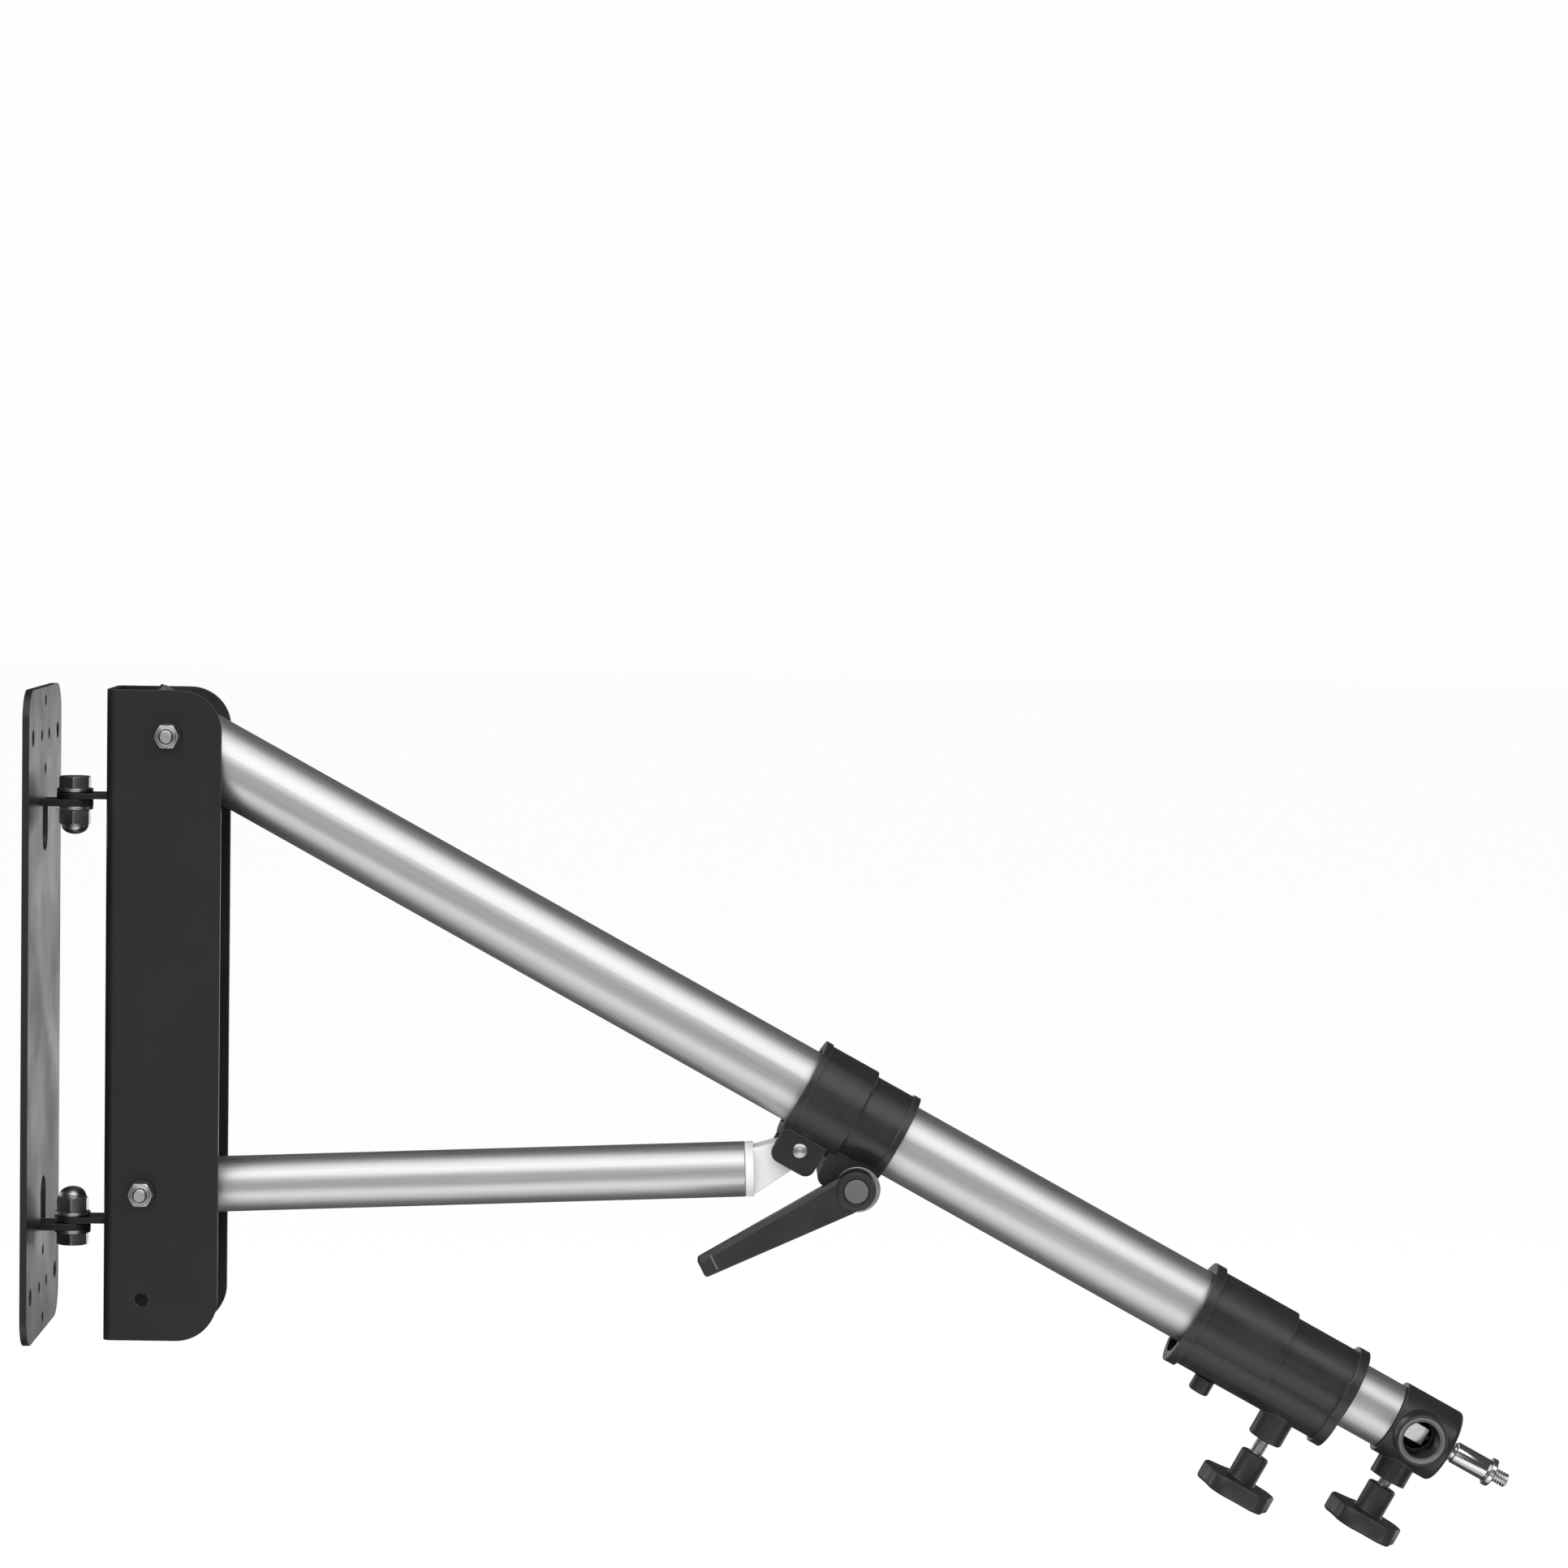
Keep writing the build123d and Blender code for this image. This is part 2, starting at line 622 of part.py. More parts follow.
# Clamp bolt through the split lugs, with its washer; the lever's steel nut turns on it
clamp_point = on_boom(clamp_station, clamp_drop)
lever_face = clamp_lug_depth + face_gap + washer_thickness
lever_outer = lever_face + lever_boss_depth
with BuildPart() as clamp_washer:
    add(ring(facing(clamp_point, clamp_lug_depth, 1), clamp_washer_diameter, clamp_screw + 2 * seat_fit,
             clamp_washer_thickness, clamp_washer_thickness / 6))
with BuildPart() as clamp_bolt:
    bolt_seat_depth = clamp_lug_depth + clamp_washer_thickness
    add(hex_bolt(facing(clamp_point, bolt_seat_depth, -1), clamp_screw,
                 bolt_seat_depth + lever_outer - lever_skin - bolt_end_gap, clamp_flats, clamp_head))

# Lever: tapered handle on a round boss, its pressed-in nut and the button that hides the bolt
lever_run = lever_length - lever_tip_width / 2
lever_cos = -cos(radians(lever_angle))
lever_sin = -sin(radians(lever_angle))
lever_plane = Plane(origin=clamp_point + Vector(0, -lever_outer + lever_thickness + lever_skin, 0),
                    x_dir=down_boom * lever_cos + below_boom * -lever_sin, z_dir=(0, -1, 0))
with BuildPart() as lever_handle:
    with BuildSketch(lever_plane):
        with Locations((lever_boss / 3, 0)):
            Circle(lever_root_width / 2)
        with Locations((lever_run, 0)):
            Circle(lever_tip_width / 2)
        make_hull()
    extrude(amount=lever_thickness)
    fillet(lever_handle.faces().sort_by(Axis.Y)[0].edges(), radius=2)
    with BuildSketch(facing(clamp_point, -lever_face, -1)):
        Circle(lever_boss / 2)
    extrude(amount=lever_boss_depth)
    fillet(lever_handle.faces().sort_by(Axis.Y)[0].edges(), radius=1.2)
    with BuildSketch(facing(clamp_point, -lever_face, -1)):
        Circle(clamp_washer_diameter / 2 + seat_fit)
    extrude(amount=lever_boss_depth - lever_skin, mode=Mode.SUBTRACT)
    with BuildSketch(facing(clamp_point, -lever_face, -1)):
        Circle(lever_button / 2 + seat_fit)
    extrude(amount=lever_boss_depth, mode=Mode.SUBTRACT)
with BuildPart() as lever_washer:
    seat = facing(clamp_point, -lever_face, 1)
    add(ring(seat, lever_washer_diameter, thread_hole, washer_thickness, washer_thickness / 5))
with BuildPart() as lever_nut:
    add(ring(facing(clamp_point, -lever_face, -1), clamp_washer_diameter, thread_hole, lever_boss_depth - lever_skin))
with BuildPart() as lever_cap:
    add(ring(facing(clamp_point, lever_skin - lever_outer, -1), lever_button, 0, lever_cap_height))
    fillet(lever_cap.faces().sort_by(Axis.Y)[0].edges(), radius=lever_cap_height / 4)

# Strut tube with a moulded plug at each end
strut_tube_start = nose_length + nose_collar
strut_tube_stop = strut_length - tongue_reach
plug_bore = strut_bore - 2 * seat_fit
with BuildPart() as strut_tube:
    add(ring(across_strut(strut_tube_start), strut_tube_diameter, strut_bore,
             strut_tube_stop - strut_tube_start, tube_bevel))
with BuildPart() as strut_nose:
    with BuildSketch(across_strut(nose_length)):
        Circle(strut_tube_diameter / 2)
    extrude(amount=nose_collar)
    with BuildSketch(across_strut(strut_tube_start)):
        Circle(plug_bore / 2)
    extrude(amount=plug_depth)
    nose_half = clevis_gap / 2 - face_gap
    nose_root = 0.82 * strut_tube_diameter
    with BuildSketch(beside_strut(nose_half)):
        with Locations((0, nose_eye_offset)):
            Circle(nose_eye_radius)
        with Locations((-nose_length, 0)):
            Rectangle(1, nose_root)
        make_hull()
        with Locations((0, nose_eye_offset)):
            Circle(strut_pin / 2 + running_fit, mode=Mode.SUBTRACT)
    extrude(amount=2 * nose_half)
with BuildPart() as strut_tail:
    with BuildSketch(across_strut(strut_tube_stop)):
        Circle(strut_tube_diameter / 2)
    extrude(amount=tail_rim)
    with BuildSketch(across_strut(strut_tube_stop)):
        Circle(plug_bore / 2)
    extrude(amount=-plug_depth)
    open_pivot_width = pivot_bolt + 2 * open_pivot_side_play
    open_pivot_height = pivot_bolt + 2 * open_pivot_play
    tongue_half_width = open_pivot_width / 2 + open_pivot_wall
    with BuildSketch(beside_strut(tongue_thickness / 2)):
        with Locations((-strut_length, open_pivot_rise)):
            SlotOverall(open_pivot_height + 2 * open_pivot_wall, 2 * tongue_half_width, rotation=90)
        with Locations((-strut_tube_stop - tail_rim / 2, 0)):
            Rectangle(tail_rim, nose_root)
        make_hull()
        with Locations((-strut_length, open_pivot_rise)):
            RectangleRounded(open_pivot_width, open_pivot_height, open_pivot_corner, mode=Mode.SUBTRACT)
    extrude(amount=tongue_thickness)

# Telescoping collar: stepped sleeve with a hollow rail below, a fixing screw and a clamp boss
with BuildPart() as telescope_collar:
    for low, high, body_radius, grown in (
        (collar_start, collar_step, collar_rear_radius, 0.0),
        (collar_step, collar_end, collar_front_radius, 0.0),
        (collar_start, collar_start + collar_bead_width, collar_rear_radius + collar_bead, collar_bead),
        (collar_end - collar_bead_width, collar_end, collar_front_radius + collar_front_bead, collar_bead),
    ):
        with BuildSketch(across_boom(low)):
            Circle(body_radius)
            with Locations((0, rail_radius - rail_drop)):
                Circle(rail_radius + grown)
        extrude(amount=high - low)
    add(ring(under_boom(collar_clamp_station, 0), collar_boss, 0, collar_boss_drop, boss_bevel))
    with BuildSketch(across_boom(collar_start - 1)):
        Circle(outer_tube_diameter / 2 + seat_fit)
    extrude(amount=outer_tube_end - collar_start + 1, mode=Mode.SUBTRACT)
    with BuildSketch(across_boom(collar_start)):
        Circle(inner_guide_bore / 2)
    extrude(amount=collar_end - collar_start + 1, mode=Mode.SUBTRACT)
    boss_reach = collar_boss / 2 + 1
    for low, high, kept_radius in (
        (collar_start - 1, outer_tube_end - rail_bulkhead, outer_tube_diameter / 2),
        (collar_clamp_station + boss_reach, collar_end + 1, collar_front_radius),
    ):
        with BuildSketch(across_boom(low)):
            with Locations((0, rail_radius - rail_drop)):
                Circle(rail_radius - rail_wall)
            Circle(kept_radius, mode=Mode.SUBTRACT)
        extrude(amount=high - low, mode=Mode.SUBTRACT)
    with BuildSketch(under_boom(fixing_station, 0)):
        Circle(fixing_shank / 2 + seat_fit)
    extrude(amount=2 * rail_drop, mode=Mode.SUBTRACT)
    with BuildSketch(under_boom(collar_clamp_station, 0)):
        Circle(insert_diameter / 2 + seat_fit)
    extrude(amount=collar_boss_drop + 1, mode=Mode.SUBTRACT)
fixing_length = rail_drop - outer_tube_diameter / 2 + outer_tube_wall
with BuildPart() as collar_fixing_screw:
    add(stepped(under_boom(fixing_station, outer_tube_diameter / 2 - outer_tube_wall),
                (fixing_shank, fixing_length),
                (fixing_head, fixing_length + fixing_head_height)))
    fixing_end = collar_fixing_screw.faces().sort_by(Axis(on_boom(fixing_station), below_boom))[-1]
    chamfer(fixing_end.edges(), length=boss_bevel)
    with BuildSketch(under_boom(fixing_station, rail_drop + fixing_head_height)):
        RegularPolygon(radius=fixing_shank / 2, side_count=6)
    extrude(amount=-fixing_head_height / 2, mode=Mode.SUBTRACT)

# Inner tube with its tail cap, running in a guide bush that slides in the outer tube
with BuildPart() as inner_tube:
    add(ring(across_boom(inner_tube_start), inner_tube_diameter, inner_bore,
             inner_tube_end - inner_tube_start, tube_bevel))
with BuildPart() as inner_guide_bush:
    add(ring(across_boom(inner_tube_start), outer_bore - 2 * running_fit, inner_guide_bore, bush_length))
with BuildPart() as inner_tail_cap:
    add(stepped(across_boom(inner_tube_start - face_gap - cap_flange),
                (outer_bore - 2 * face_gap, cap_flange),
                (inner_bore - 2 * seat_fit, cap_flange + face_gap + cap_depth)))
    with BuildSketch(across_boom(inner_tube_start - face_gap)):
        Circle(inner_bore / 2 - plug_wall)
    extrude(amount=2 * cap_depth, mode=Mode.SUBTRACT)

# Head casting: plug into the inner tube, round body, side port and clamp boss
with BuildPart() as head_socket:
    add(stepped(across_boom(inner_tube_end - head_plug), (inner_bore - 2 * seat_fit, head_plug),
                (2 * head_radius, head_plug + head_end - inner_tube_end)))
    fillet(head_socket.edges().filter_by(GeomType.CIRCLE).sort_by(Axis(on_boom(0), down_boom))[-1], radius=head_round)
    with BuildSketch(facing(on_boom(port_station), 0, -1)):
        Circle(port_diameter / 2)
    extrude(amount=port_reach)
    add(ring(under_boom(head_clamp_station, 0), head_boss, 0, head_boss_drop))
    fillet(head_socket.faces().sort_by(Axis.Y)[0].edges(), radius=boss_bevel)
    with BuildSketch(across_boom(head_end + 1)):
        Circle(socket_diameter / 2)
    extrude(amount=socket_start - head_end - 1, mode=Mode.SUBTRACT)
    with BuildSketch(facing(on_boom(port_station), -port_stop, -1)):
        Circle(socket_diameter / 2)
    extrude(amount=port_reach, mode=Mode.SUBTRACT)
    with BuildSketch(facing(on_boom(port_station), 0, -1)):
        Circle(socket_diameter / 2 - port_seat)
    extrude(amount=port_reach, mode=Mode.SUBTRACT)
    port_mouth = head_socket.edges().filter_by(GeomType.CIRCLE).group_by(Axis.Y)[0]
    chamfer(port_mouth.sort_by(SortBy.RADIUS)[0], length=port_chamfer)
    with BuildSketch(under_boom(head_clamp_station, 0)):
        Circle(insert_diameter / 2 + seat_fit)
    extrude(amount=head_boss_drop + 1, mode=Mode.SUBTRACT)

# Spigot: hexagonal tail with a waist, round nose, flange and threaded tip
with BuildPart() as spigot:
    with BuildSketch(across_boom(spigot_tail_start)):
        RegularPolygon(radius=spigot_flats / 2, side_count=6, major_radius=False, rotation=30)
    extrude(amount=head_end - spigot_tail_start - 1)
    add(stepped(across_boom(head_end - 1),
                (spigot_shoulder, spigot_shoulder_end - head_end + 1),
                (spigot_body - 2 * spigot_groove, spigot_shoulder_end - head_end + 1 + spigot_groove_width),
                (spigot_body, spigot_body_end - head_end + 1),
                (spigot_flange, spigot_flange_end - head_end + 1),
                (spigot_thread, spigot_end - head_end + 1)))
    add(ring(across_boom(waist_station), 2 * spigot_flats, spigot_waist, waist_width), mode=Mode.SUBTRACT)


# Clamp sets: brass insert in the boss, sliding pad, and a lobed knob moulded on its screw
def clamp_set(station, pad_drop, boss_drop, knob_drop):
    """Insert, pad, screw and knob of one clamp, all on the normal below the boom at a station."""
    insert_drop = pad_drop + pad_length + pad_travel
    insert_part = ring(under_boom(station, insert_drop), insert_diameter, thread_hole, boss_drop - insert_drop)
    pad_part = ring(under_boom(station, pad_drop), pad_diameter, 0, pad_length, 0.4)
    screw_drop = pad_drop + pad_length + face_gap
    screw_part = ring(under_boom(station, screw_drop), clamp_screw, 0, knob_drop + knob_neck - screw_drop, 0.5)
    with BuildPart() as knob:
        top = under_boom(station, knob_drop + knob_neck)
        outward = Axis(top.origin, top.z_dir)
        with BuildSketch(top):
            Circle(knob_diameter / 2)
            with PolarLocations(0.94 * knob_diameter, knob_flutes, start_angle=18):
                Circle(knob_diameter / 2, mode=Mode.SUBTRACT)
        extrude(amount=knob_thickness)
        fillet(knob.edges().filter_by(lambda edge: abs(edge.tangent_at(0.5).dot(top.z_dir)) > 0.99), radius=3)
        fillet(knob.faces().sort_by(outward)[-1].edges(), radius=1.6)
        fillet(knob.faces().sort_by(outward)[0].edges(), radius=1.2)
        with BuildSketch(under_boom(station, knob_drop)):
            Circle(clamp_screw / 2 + knob_neck_wall)
        extrude(amount=knob_neck)
        chamfer(knob.faces().sort_by(outward)[0].edges(), length=0.6)
        with BuildSketch(under_boom(station, knob_drop)):
            Circle(clamp_screw / 2 + seat_fit)
        extrude(amount=knob_neck, mode=Mode.SUBTRACT)
    return insert_part, pad_part, screw_part, knob.part


collar_pad_drop = inner_tube_diameter / 2 + face_gap
head_pad_drop = spigot_flats / sqrt(3) + face_gap
collar_set = clamp_set(collar_clamp_station, collar_pad_drop, collar_boss_drop, collar_knob_drop)
head_set = clamp_set(head_clamp_station, head_pad_drop, head_boss_drop, head_knob_drop)
clamp_names = ("insert", "pad", "screw", "knob")

os.makedirs("parts", exist_ok=True)
nodes = {
    "wall_plate": wall_plate,
    "hinge_bolts": hinge_bolts,
    "hinge_nuts": hinge_nuts,
    "hinge_washers": hinge_washers,
    "bracket_channel": bracket_channel,
    "boom_pivot_bolt": boom_pivot_bolt,
    "boom_pivot_nut": boom_pivot_nut,
    "strut_pivot_bolt": strut_pivot_bolt,
    "strut_pivot_nut": strut_pivot_nut,
    "flange_washers": flange_washers,
    "thrust_washers": thrust_washers,
    "strut_spacers": strut_spacers,
    "outer_tube": outer_tube,
    "boom_tail_plug": boom_tail_plug,
    "pivot_sleeve": pivot_sleeve,
    "slider_collar": slider_collar,
    "slider_liner": slider_liner,
    "strut_pin_rivet": strut_pin_rivet,
    "clamp_bolt": clamp_bolt,
    "clamp_washer": clamp_washer,
    "lever_handle": lever_handle,
    "lever_washer": lever_washer,
    "lever_nut": lever_nut,
    "lever_cap": lever_cap,
    "strut_tube": strut_tube,
    "strut_nose": strut_nose,
    "strut_tail": strut_tail,
    "telescope_collar": telescope_collar,
    "collar_fixing_screw": collar_fixing_screw,
    "inner_tube": inner_tube,
    "inner_guide_bush": inner_guide_bush,
    "inner_tail_cap": inner_tail_cap,
    "head_socket": head_socket,
    "spigot": spigot,
}
for name, node in nodes.items():
    node.part.label = name
    export_step(node.part, f"parts/{name}.step")
for owner, pieces in (("collar", collar_set), ("head", head_set)):
    for name, piece in zip(clamp_names, pieces):
        piece.label = f"{owner}_{name}"
        export_step(piece, f"parts/{owner}_{name}.step")
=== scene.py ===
import json
import math

import bmesh
import bpy
from mathutils import Euler, Matrix, Vector


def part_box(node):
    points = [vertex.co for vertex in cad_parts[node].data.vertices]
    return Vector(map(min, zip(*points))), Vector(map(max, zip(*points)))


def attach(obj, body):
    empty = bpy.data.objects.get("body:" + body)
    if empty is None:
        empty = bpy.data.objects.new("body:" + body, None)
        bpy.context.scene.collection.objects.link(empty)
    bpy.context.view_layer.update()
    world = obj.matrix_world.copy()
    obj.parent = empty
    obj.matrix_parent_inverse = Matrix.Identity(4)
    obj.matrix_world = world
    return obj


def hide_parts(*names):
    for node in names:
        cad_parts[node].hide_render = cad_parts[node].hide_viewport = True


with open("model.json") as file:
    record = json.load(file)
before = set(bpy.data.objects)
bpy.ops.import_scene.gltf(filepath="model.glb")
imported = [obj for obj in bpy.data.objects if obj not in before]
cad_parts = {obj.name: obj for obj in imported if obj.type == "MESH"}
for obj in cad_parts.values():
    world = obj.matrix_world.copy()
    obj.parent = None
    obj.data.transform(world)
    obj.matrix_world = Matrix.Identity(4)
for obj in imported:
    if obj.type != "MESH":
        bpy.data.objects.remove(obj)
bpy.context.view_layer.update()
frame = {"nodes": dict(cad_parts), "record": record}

scene = bpy.context.scene
nodes = frame["nodes"]
joints = {joint["name"]: joint for joint in frame["record"]["behaviour"]["joints"]}

# ---------------------------------------------------------------------------------------------------
# Studio: a level camera in front of the arm's open side, a little above it, and a pale floor.
# Two long soft boxes in front give the tubes their pair of bright streaks, and a panel behind lights
# the wall plate. Reflections see a dim room, so that the rims of the tubes stay dark.
camera_place = (0.2956, -2.0816, 0.2295)
camera_turn = (86.5526, -0.8541, -0.8183)
camera_lens = 108.85
camera_data = bpy.data.cameras.new("studio_camera")
camera_data.lens = camera_lens
camera_data.sensor_width = 36.0
camera = bpy.data.objects.new("studio_camera", camera_data)
camera.location = camera_place
camera.rotation_euler = Euler([math.radians(angle) for angle in camera_turn], "XYZ")
scene.collection.objects.link(camera)
scene.camera = camera
scene.view_settings.view_transform = "Standard"

world = bpy.data.worlds.new("studio_world")
scene.world = world
world.use_nodes = True
room = world.node_tree
room.nodes.clear()


def node_of(tree, kind, **values):
    """New shader node with some of its inputs and settings given by name."""
    made = tree.nodes.new(kind)
    for key, value in values.items():
        if key in made.inputs:
            made.inputs[key].default_value = value
        else:
            setattr(made, key, value)
    return made


white_room = node_of(room, "ShaderNodeBackground", Color=(0.985, 0.985, 0.985, 1), Strength=1.0)
dim_room = node_of(room, "ShaderNodeBackground", Color=(1, 1, 1, 1), Strength=0.08)
room_mix = node_of(room, "ShaderNodeMixShader")
room.links.new(node_of(room, "ShaderNodeLightPath").outputs["Is Glossy Ray"], room_mix.inputs["Fac"])
room.links.new(white_room.outputs["Background"], room_mix.inputs[1])
room.links.new(dim_room.outputs["Background"], room_mix.inputs[2])
room.links.new(room_mix.outputs["Shader"], node_of(room, "ShaderNodeOutputWorld").inputs["Surface"])


def soft_box(name, place, target, width, height, power):
    """Rectangular area light that faces a target."""
    light = bpy.data.lights.new(name, "AREA")
    light.shape = "RECTANGLE"
    light.size = width
    light.size_y = height
    light.energy = power
    lamp = bpy.data.objects.new(name, light)
    lamp.location = place
    lamp.rotation_euler = (Vector(target) - Vector(place)).to_track_quat("-Z", "Y").to_euler()
    lamp.visible_camera = False
    scene.collection.objects.link(lamp)
    return lamp


soft_box("upper_soft_box", (0.5, -1.45, 1.2), (0.45, 0.0, -0.05), 4.2, 1.1, 25)
soft_box("lower_soft_box", (0.3, -1.35, -1.25), (0.33, 0.0, -0.05), 3.6, 0.9, 12.5)
soft_box("overhead_box", (0.3, -0.6, 1.8), (0.33, 0.0, -0.05), 3.6, 1.2, 15)
soft_box("underneath_box", (0.3, -0.7, -1.85), (0.33, 0.0, -0.05), 3.6, 1.1, 8)
soft_box("front_box", (0.3, -2.9, 0.05), (0.33, 0.0, -0.05), 3.4, 1.2, 2.8)
soft_box("head_catch_light", (0.9, -2.1, -0.45), (0.6, 0.0, -0.2), 0.45, 0.4, 0.6)
soft_box("bracket_catch_light", (-0.2, -2.1, -0.25), (0.06, 0.0, -0.1), 0.25, 0.3, 0.7)
soft_box("rear_panel", (0.4, 2.6, -0.2), (0.0, 0.0, 0.0), 0.7, 0.8, 3.4)
soft_box("rear_left_box", (-2.0, 1.8, 0.6), (0.2, 0.0, -0.05), 1.6, 1.8, 12)
soft_box("rear_right_box", (2.6, 1.8, -0.7), (0.33, 0.0, -0.05), 1.6, 1.8, 12)

floor_mesh = bpy.data.meshes.new("studio_floor")
floor_size, floor_level = 30.0, -0.95
floor_mesh.from_pydata(
    [(x * floor_size, y * floor_size, floor_level) for x, y in ((-1, -1), (1, -1), (1, 1), (-1, 1))],
    [], [(0, 1, 2, 3)])
floor = bpy.data.objects.new("studio_floor", floor_mesh)
floor.visible_glossy = False
floor.visible_shadow = False
scene.collection.objects.link(floor)
floor_finish = bpy.data.materials.new("studio_floor")
floor_finish.use_nodes = True
floor_finish.node_tree.nodes["Principled BSDF"].inputs["Base Color"].default_value = (0.99, 0.99, 0.99, 1)
floor_finish.node_tree.nodes["Principled BSDF"].inputs["Roughness"].default_value = 1.0
floor_finish.node_tree.nodes["Principled BSDF"].inputs["Specular IOR Level"].default_value = 0.0
floor_mesh.materials.append(floor_finish)

# ---------------------------------------------------------------------------------------------------
# Wall plate and channel: 3 mm and 2.5 mm steel sheet, laser cut, folded and powder coated satin black.
# The coat has a fine orange peel, and its edges are painted a lighter grey: a painted highlight where light
# catches them.
mm = 0.001
drawn_stretch = 0.02     # a drawn tube's lines are fifty times as long as they are wide
relief_depth = 0.2 * mm


def group_with(name, inputs, outputs):
    """Empty shader node group with float or vector sockets, and its two end nodes."""
    tree = bpy.data.node_groups.new(name, "ShaderNodeTree")
    for socket, kind, value in inputs:
        made = tree.interface.new_socket(name=socket, in_out="INPUT", socket_type=kind)
        if value is not None:
            made.default_value = value
    for socket, kind in outputs:
        tree.interface.new_socket(name=socket, in_out="OUTPUT", socket_type=kind)
    return tree, tree.nodes.new("NodeGroupInput"), tree.nodes.new("NodeGroupOutput")


# Slow tone changes, and the fine relief of a coat, a moulding or a drawn surface
surface_grain, grain_in, grain_out = group_with(
    "surface_grain",
    (("Vector", "NodeSocketVector", None), ("Tone Scale", "NodeSocketFloat", 30.0),
     ("Grain Scale", "NodeSocketFloat", 900.0)),
    (("Tone", "NodeSocketFloat"), ("Grain", "NodeSocketFloat")))
tone_noise = node_of(surface_grain, "ShaderNodeTexNoise", Detail=4.0, Roughness=0.6)
relief_noise = node_of(surface_grain, "ShaderNodeTexNoise", Detail=2.0, Roughness=0.5)
tone_spread = node_of(surface_grain, "ShaderNodeMapRange")
for key, value in (("From Min", 0.3), ("From Max", 0.7)):
    tone_spread.inputs[key].default_value = value
for noise, scale in ((tone_noise, "Tone Scale"), (relief_noise, "Grain Scale")):
    surface_grain.links.new(grain_in.outputs["Vector"], noise.inputs["Vector"])
    surface_grain.links.new(grain_in.outputs[scale], noise.inputs["Scale"])
surface_grain.links.new(tone_noise.outputs["Fac"], tone_spread.inputs["Value"])
surface_grain.links.new(tone_spread.outputs["Result"], grain_out.inputs["Tone"])
surface_grain.links.new(relief_noise.outputs["Fac"], grain_out.inputs["Grain"])

# Rounded look of an edge, and a mask along it where a lighter colour is painted on as a highlight
rubbed_edge, edge_in, edge_out = group_with(
    "rubbed_edge",
    (("Radius", "NodeSocketFloat", 0.0006), ("Break Up", "NodeSocketFloat", 0.5)),
    (("Mask", "NodeSocketFloat"), ("Normal", "NodeSocketVector")))
round_normal = node_of(rubbed_edge, "ShaderNodeBevel", samples=6)
flat_normal = node_of(rubbed_edge, "ShaderNodeNewGeometry")
turn_between = node_of(rubbed_edge, "ShaderNodeVectorMath", operation="DOT_PRODUCT")
edge_spread = node_of(rubbed_edge, "ShaderNodeMapRange")
for key, value in (("From Min", 0.99), ("From Max", 0.8), ("To Min", 0.0), ("To Max", 1.0)):
    edge_spread.inputs[key].default_value = value
edge_break = node_of(rubbed_edge, "ShaderNodeMath", operation="MULTIPLY")
rubbed_edge.links.new(edge_in.outputs["Radius"], round_normal.inputs["Radius"])
rubbed_edge.links.new(round_normal.outputs["Normal"], turn_between.inputs[0])
rubbed_edge.links.new(flat_normal.outputs["Normal"], turn_between.inputs[1])
rubbed_edge.links.new(turn_between.outputs["Value"], edge_spread.inputs["Value"])
rubbed_edge.links.new(edge_spread.outputs["Result"], edge_break.inputs[0])
rubbed_edge.links.new(edge_in.outputs["Break Up"], edge_break.inputs[1])
rubbed_edge.links.new(edge_break.outputs["Value"], edge_out.inputs["Mask"])
rubbed_edge.links.new(round_normal.outputs["Normal"], edge_out.inputs["Normal"])


def finish(name, deep, raised, edge, metal, rough, tone_scale, grain_scale, relief,
           radius=0.0005, run=None, rub=0.5):
    """Material of two close colours, an edge colour painted on as a highlight, a roughness range and a fine
    relief.
    """
    material = bpy.data.materials.new(name)
    material.use_nodes = True
    tree = material.node_tree
    shader = tree.nodes["Principled BSDF"]
    shader.inputs["Metallic"].default_value = metal
    place = node_of(tree, "ShaderNodeTexCoord").outputs["Object"]
    if run is not None:
        turn = node_of(tree, "ShaderNodeMapping", Rotation=(0, math.atan2(run[2], run[0]), 0))
        stretch = node_of(tree, "ShaderNodeMapping", Scale=(drawn_stretch, 1, 1))
        tree.links.new(place, turn.inputs["Vector"])
        tree.links.new(turn.outputs["Vector"], stretch.inputs["Vector"])
        place = stretch.outputs["Vector"]
    grain = node_of(tree, "ShaderNodeGroup", node_tree=surface_grain)
    grain.inputs["Tone Scale"].default_value = tone_scale
    grain.inputs["Grain Scale"].default_value = grain_scale
    tree.links.new(place, grain.inputs["Vector"])
    rubbed = node_of(tree, "ShaderNodeGroup", node_tree=rubbed_edge)
    rubbed.inputs["Radius"].default_value = radius
    rubbed.inputs["Break Up"].default_value = rub
    # Two close colours by random tone, then the lighter edge colour over the rounded edges: a painted
    # highlight
    face = node_of(tree, "ShaderNodeMix", data_type="RGBA")
    whole = node_of(tree, "ShaderNodeMix", data_type="RGBA")
    for mix, low, high in ((face, deep, raised), (whole, None, edge)):
        for socket, colour in ((6, low), (7, high)):
            if colour:
                mix.inputs[socket].default_value = (*colour, 1)
    tree.links.new(grain.outputs["Tone"], face.inputs[0])
    tree.links.new(rubbed.outputs["Mask"], whole.inputs[0])
    tree.links.new(face.outputs[2], whole.inputs[6])
    tree.links.new(whole.outputs[2], shader.inputs["Base Color"])
    gloss = node_of(tree, "ShaderNodeMapRange")
    gloss.inputs["To Min"].default_value, gloss.inputs["To Max"].default_value = rough
    tree.links.new(grain.outputs["Tone"], gloss.inputs["Value"])
    tree.links.new(gloss.outputs["Result"], shader.inputs["Roughness"])
    bump = node_of(tree, "ShaderNodeBump", Strength=relief, Distance=relief_depth)
    tree.links.new(grain.outputs["Grain"], bump.inputs["Height"])
    tree.links.new(rubbed.outputs["Normal"], bump.inputs["Normal"])
    tree.links.new(bump.outputs["Normal"], shader.inputs["Normal"])
    return material


